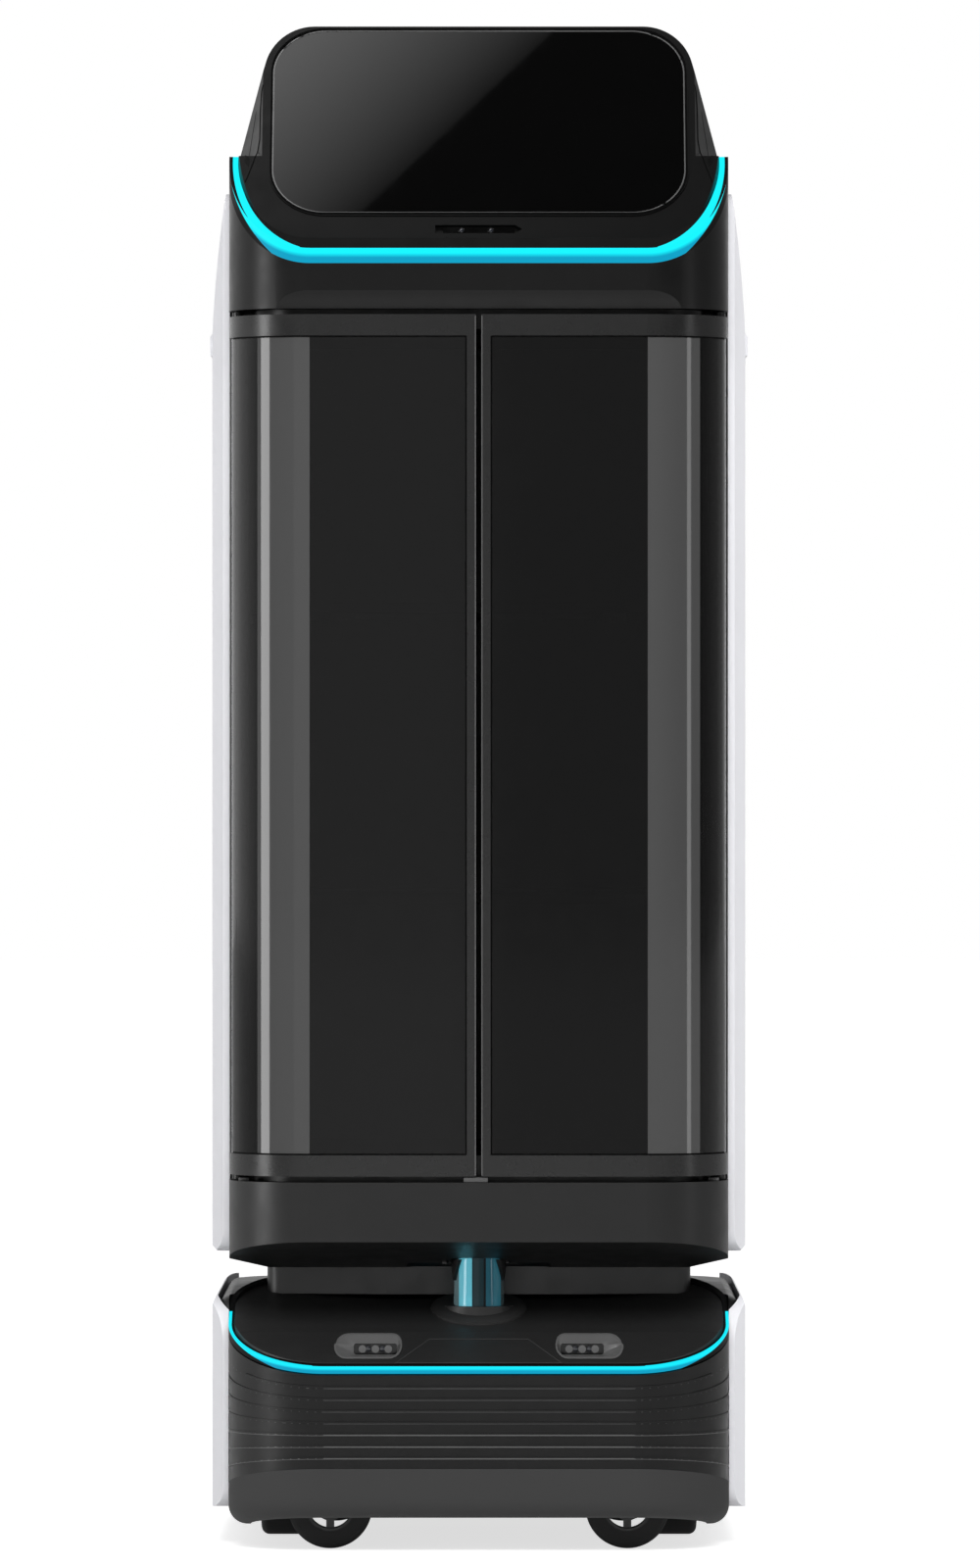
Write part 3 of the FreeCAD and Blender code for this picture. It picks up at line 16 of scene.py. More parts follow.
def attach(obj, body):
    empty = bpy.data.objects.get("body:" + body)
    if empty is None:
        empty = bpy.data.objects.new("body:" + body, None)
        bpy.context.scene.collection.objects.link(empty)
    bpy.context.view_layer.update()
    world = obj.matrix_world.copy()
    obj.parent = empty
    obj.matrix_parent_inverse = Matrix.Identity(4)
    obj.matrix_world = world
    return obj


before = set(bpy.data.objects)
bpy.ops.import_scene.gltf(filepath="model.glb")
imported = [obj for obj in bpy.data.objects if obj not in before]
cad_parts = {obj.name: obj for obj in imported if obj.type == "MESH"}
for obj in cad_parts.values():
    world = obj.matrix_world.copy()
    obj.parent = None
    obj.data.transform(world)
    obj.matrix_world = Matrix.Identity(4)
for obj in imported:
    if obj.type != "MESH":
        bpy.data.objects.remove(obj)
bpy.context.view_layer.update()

logging.basicConfig(level=logging.INFO, format="%(levelname)s %(message)s")
log = logging.getLogger("robot")

Colour = tuple[float, float, float]
Point = tuple[float, float, float]


class Lit(Enum):
    """What a lamp does to the robot."""

    COLOUR = "diffuse light only"
    SHINE = "reflections only"


class Body(str, Enum):
    """The bodies that pieces ride on."""

    ROBOT = "robot"
    DOOR_LEFT = "door_left"
    DOOR_RIGHT = "door_right"


def grey(level: float) -> Colour:
    """A neutral colour whose sRGB value is level, from 0 to 255, in linear light."""
    return rgb(level, level, level)


def rgb(red: float, green: float, blue: float) -> Colour:
    """Turns sRGB values from 0 to 255 into a linear colour.

    Args:
        red: red value.
        green: green value.
        blue: blue value.

    Returns:
        The colour in linear light.
    """
    def linear(value: float) -> float:
        """One channel in linear light."""
        share = value / 255.0
        return share / 12.92 if share <= 0.04045 else ((share + 0.055) / 1.055) ** 2.4
    return (linear(red), linear(green), linear(blue))


def darker(colour: Colour, share: float) -> Colour:
    """The colour with its light cut by a share."""
    return (colour[0] * (1 - share), colour[1] * (1 - share), colour[2] * (1 - share))


@dataclass(frozen=True)
class Finish:
    """A finish whose colour, gloss and grain vary over the surface."""

    name: str
    colour: Colour
    roughness: float = 0.42
    roughness_spread: float = 0.10
    specular: float = 0.5
    metallic: float = 0.0
    mottle: float = 0.12
    mottle_scale: float = 14.0
    grain: float = 0.15
    grain_scale: float = 1400.0
    grain_height: float = 0.00008
    coat: float = 0.0
    coat_roughness: float = 0.05

    def make(self) -> bpy.types.Material:
        """Builds the material.

        Returns:
            The material, ready to assign.
        """
        material = bpy.data.materials.get(self.name)
        if material:
            return material
        material = bpy.data.materials.new(self.name)
        material.use_nodes = True
        tree = material.node_tree
        shader = tree.nodes["Principled BSDF"]
        place = tree.nodes.new("ShaderNodeTexCoord").outputs["Object"]
        self.paint(tree, shader, place)
        self.surface(tree, shader, place)
        self.extras(tree, shader, place)
        return material

    def noise(self, tree: bpy.types.NodeTree, place: bpy.types.NodeSocket, scale: float, detail: float = 3.0,
              roughness: float = 0.55) -> bpy.types.NodeSocket:
        """Adds a noise pattern on the piece's own coordinates.

        Args:
            tree: the material's node tree.
            place: the coordinates.
            scale: cycles a metre.
            detail: layers of finer noise.
            roughness: strength of the finer layers.

        Returns:
            The pattern's value socket.
        """
        node = tree.nodes.new("ShaderNodeTexNoise")
        node.inputs["Scale"].default_value = scale
        node.inputs["Detail"].default_value = detail
        node.inputs["Roughness"].default_value = roughness
        tree.links.new(place, node.inputs["Vector"])
        return node.outputs["Fac"]

    def span(self, tree: bpy.types.NodeTree, value: bpy.types.NodeSocket, low: float,
             high: float) -> bpy.types.NodeSocket:
        """Maps a pattern's middle range onto low to high."""
        node = tree.nodes.new("ShaderNodeMapRange")
        node.inputs["From Min"].default_value = 0.3
        node.inputs["From Max"].default_value = 0.7
        node.inputs["To Min"].default_value = low
        node.inputs["To Max"].default_value = high
        tree.links.new(value, node.inputs["Value"])
        return node.outputs["Result"]

    def blend(self, tree: bpy.types.NodeTree, factor: bpy.types.NodeSocket, first: Colour,
              second: Colour) -> bpy.types.NodeSocket:
        """Mixes two colours by a factor."""
        node = tree.nodes.new("ShaderNodeMix")
        node.data_type = "RGBA"
        tree.links.new(factor, node.inputs[0])
        node.inputs[6].default_value = (*first, 1.0)
        node.inputs[7].default_value = (*second, 1.0)
        return node.outputs[2]

    def paint(self, tree: bpy.types.NodeTree, shader: bpy.types.Node, place: bpy.types.NodeSocket) -> None:
        """Sets the colour, with broad and fine variation.

        Args:
            tree: the material's node tree.
            shader: the surface shader.
            place: the coordinates.
        """
        broad = self.noise(tree, place, self.mottle_scale)
        factor = self.span(tree, broad, 0.0, 1.0)
        colour = self.blend(tree, factor, darker(self.colour, self.mottle), self.colour)
        tree.links.new(colour, shader.inputs["Base Color"])
        shader.inputs["Metallic"].default_value = self.metallic
        shader.inputs["Specular IOR Level"].default_value = self.specular
        shader.inputs["Coat Weight"].default_value = self.coat
        shader.inputs["Coat Roughness"].default_value = self.coat_roughness

    def surface(self, tree: bpy.types.NodeTree, shader: bpy.types.Node, place: bpy.types.NodeSocket) -> None:
        """Sets the roughness and the grain's relief.

        Args:
            tree: the material's node tree.
            shader: the surface shader.
            place: the coordinates.
        """
        patches = self.noise(tree, place, self.mottle_scale * 3.7, 4.0)
        low, high = self.roughness - self.roughness_spread / 2, self.roughness + self.roughness_spread / 2
        tree.links.new(self.span(tree, patches, max(low, 0.02), high), shader.inputs["Roughness"])
        if self.grain > 0:
            bump = tree.nodes.new("ShaderNodeBump")
            bump.inputs["Strength"].default_value = self.grain
            bump.inputs["Distance"].default_value = self.grain_height
            tree.links.new(self.relief(tree, place), bump.inputs["Height"])
            tree.links.new(bump.outputs["Normal"], shader.inputs["Normal"])

    def relief(self, tree: bpy.types.NodeTree, place: bpy.types.NodeSocket) -> bpy.types.NodeSocket:
        """The grain's height pattern."""
        return self.noise(tree, place, self.grain_scale, 2.0)

    def extras(self, tree: bpy.types.NodeTree, shader: bpy.types.Node, place: bpy.types.NodeSocket) -> None:
        """What a special finish adds; nothing on a plain one."""


@dataclass(frozen=True)
class SmokedPane(Finish):
    """Tinted glass that lets some of what is behind it through, with a lighter grey band painted near each side,
    over the curved corner, as a painted reflection.
    """

    cover: float = 0.75
    reflection_band_colour: Colour = (0.06, 0.06, 0.06)
    band_start: float = 1.0
    band_end: float = 2.0

    def band(self, tree: bpy.types.NodeTree, place: bpy.types.NodeSocket) -> bpy.types.NodeSocket:
        """One on the band of painted reflection, nought elsewhere.

        Args:
            tree: the material's node tree.
            place: the coordinates.

        Returns:
            The mask's value socket.
        """
        axes = tree.nodes.new("ShaderNodeSeparateXYZ")
        tree.links.new(place, axes.inputs["Vector"])
        aside = tree.nodes.new("ShaderNodeMath")
        aside.operation = "ABSOLUTE"
        tree.links.new(axes.outputs["X"], aside.inputs[0])
        mask = tree.nodes.new("ShaderNodeMath")
        mask.operation = "COMPARE"
        tree.links.new(aside.outputs["Value"], mask.inputs[0])
        mask.inputs[1].default_value = (self.band_start + self.band_end) / 2
        mask.inputs[2].default_value = (self.band_end - self.band_start) / 2
        return mask.outputs["Value"]

    def extras(self, tree: bpy.types.NodeTree, shader: bpy.types.Node, place: bpy.types.NodeSocket) -> None:
        """Sets how much the tint hides, and paints the band of painted reflection there, opaque.

        Args:
            tree: the material's node tree.
            shader: the surface shader.
            place: the coordinates.
        """
        mask = self.band(tree, place)
        tint = shader.inputs["Base Color"].links[0].from_socket
        # Painted reflection: the lighter grey on the curved corners stands in for the reflection that the glass
        # shows there.
        reflection_paint = tree.nodes.new("ShaderNodeMix")
        reflection_paint.data_type = "RGBA"
        tree.links.new(mask, reflection_paint.inputs[0])
        tree.links.new(tint, reflection_paint.inputs[6])
        reflection_paint.inputs[7].default_value = (*self.reflection_band_colour, 1.0)
        tree.links.new(reflection_paint.outputs[2], shader.inputs["Base Color"])
        cover = tree.nodes.new("ShaderNodeMapRange")
        tree.links.new(mask, cover.inputs["Value"])
        cover.inputs["To Min"].default_value = self.cover
        cover.inputs["To Max"].default_value = 1.0
        tree.links.new(cover.outputs["Result"], shader.inputs["Alpha"])


@dataclass(frozen=True)
class LightBar(Finish):
    """A lit diffuser with a brighter and a dimmer half, parted at a slanting height."""

    glow: Colour = (0.0, 0.9, 1.0)
    dim: Colour = (0.0, 0.3, 0.5)
    strength: float = 1.0
    split: float = 0.0
    slope: float = 0.0
    band: float = 0.004
    lid: float = 9.0
    foot: float = 0.0
    corner_x: float = 0.1493
    corner_y: float = -0.177
    corner_radius: float = 0.073
    lit_depth: float = 0.0085
    shift: float = 0.004
    rear_end: float = 0.0

    def math(self, tree: bpy.types.NodeTree, operation: str, first: bpy.types.NodeSocket | float,
             second: bpy.types.NodeSocket | float = 0.0) -> bpy.types.NodeSocket:
        """Adds one step of arithmetic.

        Args:
            tree: the material's node tree.
            operation: the step's name.
            first: its first value or socket.
            second: its second value or socket.

        Returns:
            The result's socket.
        """
        node = tree.nodes.new("ShaderNodeMath")
        node.operation = operation
        for socket, value in zip(node.inputs, (first, second)):
            if isinstance(value, float):
                socket.default_value = value
            else:
                tree.links.new(value, socket)
        return node.outputs["Value"]

    def glide(self, tree: bpy.types.NodeTree, value: bpy.types.NodeSocket, source: tuple[float, float],
              target: tuple[float, float]) -> bpy.types.NodeSocket:
        """Maps a value from one range to another, held at its ends.

        Args:
            tree: the material's node tree.
            value: the value's socket.
            source: the range it has.
            target: the range it gets.

        Returns:
            The mapped value's socket.
        """
        node = tree.nodes.new("ShaderNodeMapRange")
        tree.links.new(value, node.inputs["Value"])
        node.inputs["From Min"].default_value, node.inputs["From Max"].default_value = source
        node.inputs["To Min"].default_value, node.inputs["To Max"].default_value = target
        return node.outputs["Result"]

    def lit_part(self, tree: bpy.types.NodeTree, axes: bpy.types.Node,
                 level: bpy.types.NodeSocket) -> bpy.types.NodeSocket:
        """One where the bar is lit: its face in front, and the inner part of its top at the sides.

        Args:
            tree: the material's node tree.
            axes: the node that splits the coordinates.
            level: the height less the slope.

        Returns:
            The mask's socket.
        """
        aside = self.math(tree, "SUBTRACT", self.math(tree, "ABSOLUTE", axes.outputs["X"]), self.corner_x)
        aside = self.math(tree, "MAXIMUM", aside, 0.0)
        ahead = self.math(tree, "MAXIMUM", self.math(tree, "SUBTRACT", self.corner_y, axes.outputs["Y"]), 0.0)
        reach = self.math(tree, "SQRT", self.math(tree, "ADD", self.math(tree, "MULTIPLY", aside, aside),
                                                  self.math(tree, "MULTIPLY", ahead, ahead)))
        turned = self.math(tree, "DIVIDE", aside, self.corner_radius)
        inner = self.glide(tree, turned, (0.12, 0.85), (self.corner_radius, self.corner_radius - self.lit_depth))
        outer = self.glide(tree, turned, (0.7, 1.0), (self.corner_radius + 0.001, self.corner_radius - self.shift))
        on_top = self.math(tree, "GREATER_THAN", level, self.lid)
        between = self.math(tree, "MULTIPLY", self.math(tree, "GREATER_THAN", reach, inner),
                            self.math(tree, "LESS_THAN", reach, outer))
        top_lit = self.math(tree, "MULTIPLY", on_top, between)
        climb = self.glide(tree, turned, (0.45, 0.97), (self.foot, self.lid))
        face_lit = self.math(tree, "MULTIPLY", self.math(tree, "GREATER_THAN", level, climb),
                             self.math(tree, "LESS_THAN", level, self.lid))
        ahead_of_end = self.math(tree, "LESS_THAN", axes.outputs["Y"], self.rear_end)
        return self.math(tree, "MULTIPLY", self.math(tree, "MAXIMUM", top_lit, face_lit), ahead_of_end)

    def extras(self, tree: bpy.types.NodeTree, shader: bpy.types.Node, place: bpy.types.NodeSocket) -> None:
        """Lights the upper half brightly and the lower half less, and leaves the unlit part black.

        Args:
            tree: the material's node tree.
            shader: the surface shader.
            place: the coordinates.
        """
        axes = tree.nodes.new("ShaderNodeSeparateXYZ")
        tree.links.new(place, axes.inputs["Vector"])
        drop = tree.nodes.new("ShaderNodeMath")
        drop.operation = "MULTIPLY_ADD"
        tree.links.new(axes.outputs["Y"], drop.inputs[0])
        drop.inputs[1].default_value = -self.slope
        tree.links.new(axes.outputs["Z"], drop.inputs[2])
        ramp = tree.nodes.new("ShaderNodeMapRange")
        tree.links.new(drop.outputs["Value"], ramp.inputs["Value"])
        ramp.inputs["From Min"].default_value = self.split - self.band / 2
        ramp.inputs["From Max"].default_value = self.split + self.band / 2
        glowing = self.blend(tree, ramp.outputs["Result"], self.dim, self.glow)
        lit = self.lit_part(tree, axes, drop.outputs["Value"])
        for source, socket, dark in ((glowing, "Emission Color", grey(0)),
                                     (shader.inputs["Base Color"].links[0].from_socket, "Base Color", grey(14))):
            mix = tree.nodes.new("ShaderNodeMix")
            mix.data_type = "RGBA"
            tree.links.new(lit, mix.inputs[0])
            mix.inputs[6].default_value = (*dark, 1.0)
            tree.links.new(source, mix.inputs[7])
            tree.links.new(mix.outputs[2], shader.inputs[socket])
        shader.inputs["Emission Strength"].default_value = self.strength


@dataclass(frozen=True)
class PaintedLightColumn(Finish):
    """Tinted glass column with painted light: lit and dark stripes, painted side by side, stand in for reflections
    and for the lit inside seen through it, and they glow though the column is no lamp.
    """

    # Painted light: where each painted lit or dark stripe starts across the column, and its colour.
    painted_light_bands: tuple[tuple[float, Colour], ...] = ((-0.03, rgb(84, 104, 108)), (-0.0180, rgb(96, 184, 202)),
                                               (-0.0062, rgb(10, 36, 42)), (0.0043, rgb(1, 5, 7)),
                                               (0.0062, rgb(30, 78, 92)), (0.0130, rgb(40, 92, 106)),
                                               (0.0195, rgb(40, 50, 52)))
    reach: float = 0.03
    strength: float = 0.5

    def extras(self, tree: bpy.types.NodeTree, shader: bpy.types.Node, place: bpy.types.NodeSocket) -> None:
        """Lays the painted lit and dark stripes side by side, from left to right, and makes them glow as painted
        light.

        Args:
            tree: the material's node tree.
            shader: the surface shader.
            place: the coordinates.
        """
        axes = tree.nodes.new("ShaderNodeSeparateXYZ")
        tree.links.new(place, axes.inputs["Vector"])
        share = tree.nodes.new("ShaderNodeMapRange")
        share.inputs["From Min"].default_value, share.inputs["From Max"].default_value = -self.reach, self.reach
        tree.links.new(axes.outputs["X"], share.inputs["Value"])
        ramp = tree.nodes.new("ShaderNodeValToRGB")
        ramp.color_ramp.interpolation = "CONSTANT"
        while len(ramp.color_ramp.elements) < len(self.painted_light_bands):
            ramp.color_ramp.elements.new(0.99)
        for element, (start, colour) in zip(ramp.color_ramp.elements, self.painted_light_bands):
            element.position = (start + self.reach) / (2 * self.reach)
            element.color = (*colour, 1.0)
        tree.links.new(share.outputs["Result"], ramp.inputs["Fac"])
        tree.links.new(ramp.outputs["Color"], shader.inputs["Base Color"])
        # Painted light: the stripes glow as well, standing in for the light that the shaded recess keeps off the
        # column.
        tree.links.new(ramp.outputs["Color"], shader.inputs["Emission Color"])
        shader.inputs["Emission Strength"].default_value = self.strength


@dataclass(frozen=True)
class TurnedMetal(Finish):
    """Brushed metal whose scratches run along one axis."""

    stretch: Point = (1.0, 1.0, 0.02)

    def relief(self, tree: bpy.types.NodeTree, place: bpy.types.NodeSocket) -> bpy.types.NodeSocket:
        """Noise pulled out along the brushing."""
        mapping = tree.nodes.new("ShaderNodeMapping")
        mapping.inputs["Scale"].default_value = self.stretch
        tree.links.new(place, mapping.inputs["Vector"])
        return self.noise(tree, mapping.outputs["Vector"], self.grain_scale, 2.0)


@dataclass(frozen=True)
class Palette:
    """Every finish of the robot."""

    satin_black: Finish = Finish("satin_black_plastic", grey(18), roughness=0.42, specular=0.5)
    deck_black: Finish = Finish("deck_black_plastic", grey(36), roughness=0.46, specular=0.5)
    band_black: Finish = Finish("ribbed_band_plastic", grey(11), roughness=0.42, specular=0.32, grain=0.1)
    bumper: Finish = Finish("bumper_rubber", grey(15), roughness=0.5, specular=0.12, grain=0.1, grain_scale=900.0)
    housing: Finish = Finish("housing_satin", grey(15), roughness=0.4, specular=0.42)
    upper: Finish = Finish("upper_housing_satin", grey(8), roughness=0.36, specular=0.26)
    head: Finish = Finish("head_satin", grey(8), roughness=0.38, specular=0.2)
    screen: Finish = Finish("screen_glass_black", grey(5), roughness=0.025, roughness_spread=0.015,
                            specular=0.45, grain=0.0)
    gloss: Finish = Finish("camera_gloss", grey(4), roughness=0.12, roughness_spread=0.06, specular=0.3, grain=0.0)
    cover_white: Finish = Finish("cover_white_paint", rgb(232, 232, 236), roughness=0.34, mottle=0.02,
                                 specular=0.15, grain=0.08, grain_scale=700.0)
    door_frame: TurnedMetal = TurnedMetal("door_frame_anodised", grey(26), roughness=0.28, metallic=0.2,
                                          specular=0.5, grain=0.08, stretch=(0.03, 1.0, 1.0))
    # Painted reflection: the lighter grey corner band on the door glass.
    glass: SmokedPane = SmokedPane("smoked_door_glass", grey(8), roughness=0.06, roughness_spread=0.03,
                                   specular=0.4, grain=0.0, cover=0.72,
                                   reflection_band_colour=grey(62), band_start=0.1495, band_end=0.196)
    # Painted light: the lidar window's lit and dark stripes are painted on and glow.
    lidar_glass: PaintedLightColumn = PaintedLightColumn("lidar_window_painted_light", rgb(24, 66, 78), roughness=0.1,
                                             roughness_spread=0.04, specular=0.4, grain=0.0)
    # Painted reflection: the same lighter grey corner band, on the band pieces behind the glass.
    band_grey: Finish = Finish("corner_band_painted_reflection", grey(70), roughness=0.5, specular=0.2, grain=0.0)
    lining: Finish = Finish("cabin_lining", rgb(40, 40, 38), roughness=0.5, specular=0.2)
    upper_strip: LightBar = LightBar("upper_light_diffuser", rgb(4, 42, 54), roughness=0.5, specular=0.08, grain=0.0,
                                     glow=rgb(16, 244, 254), dim=rgb(5, 156, 192), split=1.4234, slope=1.1,
                                     band=0.004, lid=1.4298, foot=1.4160)
    lower_strip: LightBar = LightBar("lower_light_diffuser", rgb(4, 42, 54), roughness=0.5, specular=0.08, grain=0.0,
                                     glow=rgb(16, 236, 254), dim=rgb(5, 156, 192), split=0.2582, slope=0.38,
                                     band=0.002, lid=0.2613, foot=0.2540,
                                     corner_x=0.1363, corner_y=-0.163, corner_radius=0.087,
                                     lit_depth=0.0028, shift=0.0, rear_end=-0.138)
    steel: TurnedMetal = TurnedMetal("frame_steel", grey(96), roughness=0.38, metallic=0.9, grain=0.25)
    fork: Finish = Finish("fork_dark_steel", grey(70), roughness=0.35, metallic=0.7, grain=0.2)
    hub: TurnedMetal = TurnedMetal("hub_aluminium", grey(150), roughness=0.3, metallic=0.95, grain=0.3)
    contact: TurnedMetal = TurnedMetal("contact_brass", rgb(205, 170, 100), roughness=0.28, metallic=1.0)
    tyre: Finish = Finish("tyre_rubber", grey(26), roughness=0.72, specular=0.25, grain=0.5, grain_scale=1100.0)
    rim: Finish = Finish("rim_dark_nylon", grey(46), roughness=0.42, mottle=0.1, grain=0.1)
    battery: Finish = Finish("battery_case", rgb(40, 52, 62), roughness=0.5, grain=0.3)
    stop_red: Finish = Finish("stop_button_red", rgb(196, 22, 20), roughness=0.3, grain=0.05)
    polished_edge: Finish = Finish("polished_edge", grey(96), roughness=0.22, metallic=0.3, grain=0.05)
    gap_black: Finish = Finish("gap_black", grey(3), roughness=0.7, roughness_spread=0.1, specular=0.1, grain=0.1)
    lens: Finish = Finish("lens_glass", rgb(26, 28, 34), roughness=0.06, roughness_spread=0.03, specular=0.8,
                          grain=0.0, coat=0.6)
    screw: TurnedMetal = TurnedMetal("screw_steel", grey(70), roughness=0.3, metallic=0.8, grain=0.2)
    collar_yellow: Finish = Finish("stop_collar_yellow", rgb(226, 176, 20), roughness=0.42, grain=0.1)
    rest_grey: Finish = Finish("door_rest_grey", grey(74), roughness=0.5, grain=0.15)
    foot_satin: Finish = Finish("lidar_foot_satin", grey(44), roughness=0.5, specular=0.35)
    funnel: Finish = Finish("funnel_satin", grey(92), roughness=0.4, specular=0.5)
    trim_rubber: Finish = Finish("shelf_edge_rubber", grey(8), roughness=0.6, specular=0.1, grain=0.2)
    fine_line: Finish = Finish("fine_line_grey", grey(58), roughness=0.4, specular=0.4, grain=0.05)
    # Painted highlight: the light lines along the ribs.
    rib_highlight_paint: Finish = Finish("rib_painted_highlight", grey(74), roughness=0.38, specular=0.5, grain=0.1)


PALETTE = Palette()

NODE_FINISHES: dict[str, Finish] = {
    "chassis_shell": PALETTE.band_black, "bumper_skirt": PALETTE.bumper, "frame_plate": PALETTE.steel,
    "under_pan": PALETTE.bumper, "pan_posts": PALETTE.steel, "battery_pack": PALETTE.battery,
    "deck_cover": PALETTE.deck_black, "camera_pod_left": PALETTE.funnel, "camera_pod_right": PALETTE.funnel,
    "lower_light_strip": PALETTE.lower_strip, "lidar_window": PALETTE.lidar_glass, "neck": PALETTE.satin_black,
    "drive_bracket_left": PALETTE.steel, "drive_bracket_right": PALETTE.steel,
    "drive_tyre_left": PALETTE.tyre, "drive_tyre_right": PALETTE.tyre,
    "drive_hub_left": PALETTE.hub, "drive_hub_right": PALETTE.hub,
    "wheel_cover_left": PALETTE.cover_white, "wheel_cover_right": PALETTE.cover_white,
    "charge_contacts": PALETTE.contact, "lower_housing": PALETTE.housing,
    "cabin_wall_left": PALETTE.lining, "cabin_wall_right": PALETTE.lining, "cabin_back": PALETTE.lining,
    "shelf_upper": PALETTE.lining, "shelf_lower": PALETTE.lining, "upper_housing": PALETTE.upper,
    "upper_light_strip": PALETTE.upper_strip, "head": PALETTE.head, "screen_glass": PALETTE.screen,
    "face_camera": PALETTE.gloss, "door_glass_left": PALETTE.glass, "door_glass_right": PALETTE.glass,
    "door_frame_left": PALETTE.door_frame, "door_frame_right": PALETTE.door_frame,
    "door_band_left": PALETTE.band_grey, "door_band_right": PALETTE.band_grey,
    "side_cover_left": PALETTE.cover_white, "side_cover_right": PALETTE.cover_white,
    "rear_panel": PALETTE.housing, "emergency_stop": PALETTE.stop_red, "power_switch": PALETTE.gloss,
}
for corner in ("front_left", "front_right", "rear_left", "rear_right"):
    NODE_FINISHES[f"caster_fork_{corner}"] = PALETTE.fork
    NODE_FINISHES[f"caster_tyre_{corner}"] = PALETTE.tyre
    NODE_FINISHES[f"caster_rim_{corner}"] = PALETTE.rim


def rest() -> None:
    """Object mode with nothing selected."""
    if bpy.context.mode != "OBJECT":
        bpy.ops.object.mode_set(mode="OBJECT")
    bpy.ops.object.select_all(action="DESELECT")


def settle(piece: bpy.types.Object) -> bpy.types.Object:
    """Moves the object's place, turn and size into its mesh."""
    rest()
    piece.select_set(True)
    bpy.context.view_layer.objects.active = piece
    bpy.ops.object.transform_apply(location=True, rotation=True, scale=True)
    return piece


def block(name: str, size: Point, centre: Point, turn: Point = (0.0, 0.0, 0.0)) -> bpy.types.Object:
    """Starts a piece as a block.

    Args:
        name: the piece's name.
        size: its three sides in metres.
        centre: its middle.
        turn: its turn about each axis in degrees.

    Returns:
        The block.
    """
    rest()
    bpy.ops.mesh.primitive_cube_add(size=1.0, location=centre, rotation=[math.radians(angle) for angle in turn])
    piece = bpy.context.active_object
    piece.name = piece.data.name = name
    piece.scale = size
    return settle(piece)


def disc(name: str, radius: float, height: float, centre: Point, turn: Point = (0.0, 0.0, 0.0),
         sides: int = 32) -> bpy.types.Object:
    """Starts a piece as a round of the given height.

    Args:
        name: the piece's name.
        radius: its radius.
        height: its height along its axis.
        centre: its middle.
        turn: its turn about each axis in degrees, from upright.
        sides: how many sides it has.

    Returns:
        The round.
    """
    rest()
    bpy.ops.mesh.primitive_cylinder_add(vertices=sides, radius=radius, depth=height, location=centre,
                                        rotation=[math.radians(angle) for angle in turn])
    piece = bpy.context.active_object
    piece.name = piece.data.name = name
    return settle(piece)


@contextmanager
def editing(piece: bpy.types.Object, mode: str = "FACE") -> Iterator[None]:
    """Edit mode on one piece, with nothing selected.

    Args:
        piece: the piece to edit.
        mode: what is selected in it, VERT, EDGE or FACE.
    """
    rest()
    piece.select_set(True)
    bpy.context.view_layer.objects.active = piece
    bpy.ops.object.mode_set(mode="EDIT")
    bpy.ops.mesh.select_mode(type=mode)
    bpy.ops.mesh.select_all(action="DESELECT")
    yield
    bpy.ops.object.mode_set(mode="OBJECT")


def pick_faces(piece: bpy.types.Object, test: Callable[[bmesh.types.BMFace], bool]) -> int:
    """Selects the faces that pass a test.

    Args:
        piece: the piece, in edit mode.
        test: takes a face and says whether it is wanted.

    Returns:
        How many were selected.
    """
    mesh = bmesh.from_edit_mesh(piece.data)
    wanted = [face for face in mesh.faces if test(face)]
    for face in wanted:
        face.select_set(True)
    bmesh.update_edit_mesh(piece.data)
    return len(wanted)


def pick_edges(piece: bpy.types.Object, test: Callable[[bmesh.types.BMEdge], bool]) -> int:
    """Selects the edges that pass a test.

    Args:
        piece: the piece, in edit mode.
        test: takes an edge and says whether it is wanted.

    Returns:
        How many were selected.
    """
    mesh = bmesh.from_edit_mesh(piece.data)
    wanted = [edge for edge in mesh.edges if test(edge)]
    for edge in wanted:
        edge.select_set(True)
    bmesh.update_edit_mesh(piece.data)
    return len(wanted)


def apply_modifier(piece: bpy.types.Object, kind: str, **settings: float | int | str | bool) -> None:
    """Adds one modifier and applies it.

    Args:
        piece: the piece.
        kind: the modifier's type.
        settings: its settings by name.
    """
    rest()
    piece.select_set(True)
    bpy.context.view_layer.objects.active = piece
    modifier = piece.modifiers.new(kind.lower(), kind)
    for key, value in settings.items():
        setattr(modifier, key, value)
    bpy.ops.object.modifier_apply(modifier=modifier.name)


def ease_edges(piece: bpy.types.Object, width: float, segments: int = 2) -> bpy.types.Object:
    """Rounds every sharp edge of a piece."""
    apply_modifier(piece, "BEVEL", width=width, segments=segments, limit_method="ANGLE",
                   angle_limit=math.radians(35.0))
    return piece


def seal(piece: bpy.types.Object, gap: float = 0.00001) -> bpy.types.Object:
    """Closes a mesh and turns its faces outwards."""
    with editing(piece):
        bpy.ops.mesh.select_all(action="SELECT")
        bpy.ops.mesh.remove_doubles(threshold=gap)
        bpy.ops.mesh.normals_make_consistent(inside=False)
    return piece


def copy_of(piece: bpy.types.Object, name: str, move: Matrix) -> bpy.types.Object:
    """A copy with its own mesh, moved.

    Args:
        piece: what is copied.
        name: the copy's name.
        move: the move, turn or mirror.

    Returns:
        The copy.
    """
    twin = piece.copy()
    twin.data = piece.data.copy()
    twin.name = twin.data.name = name
    bpy.context.scene.collection.objects.link(twin)
    twin.data.transform(move)
    if move.determinant() < 0:
        with editing(twin):
            bpy.ops.mesh.select_all(action="SELECT")
            bpy.ops.mesh.normals_make_consistent(inside=False)
    return twin


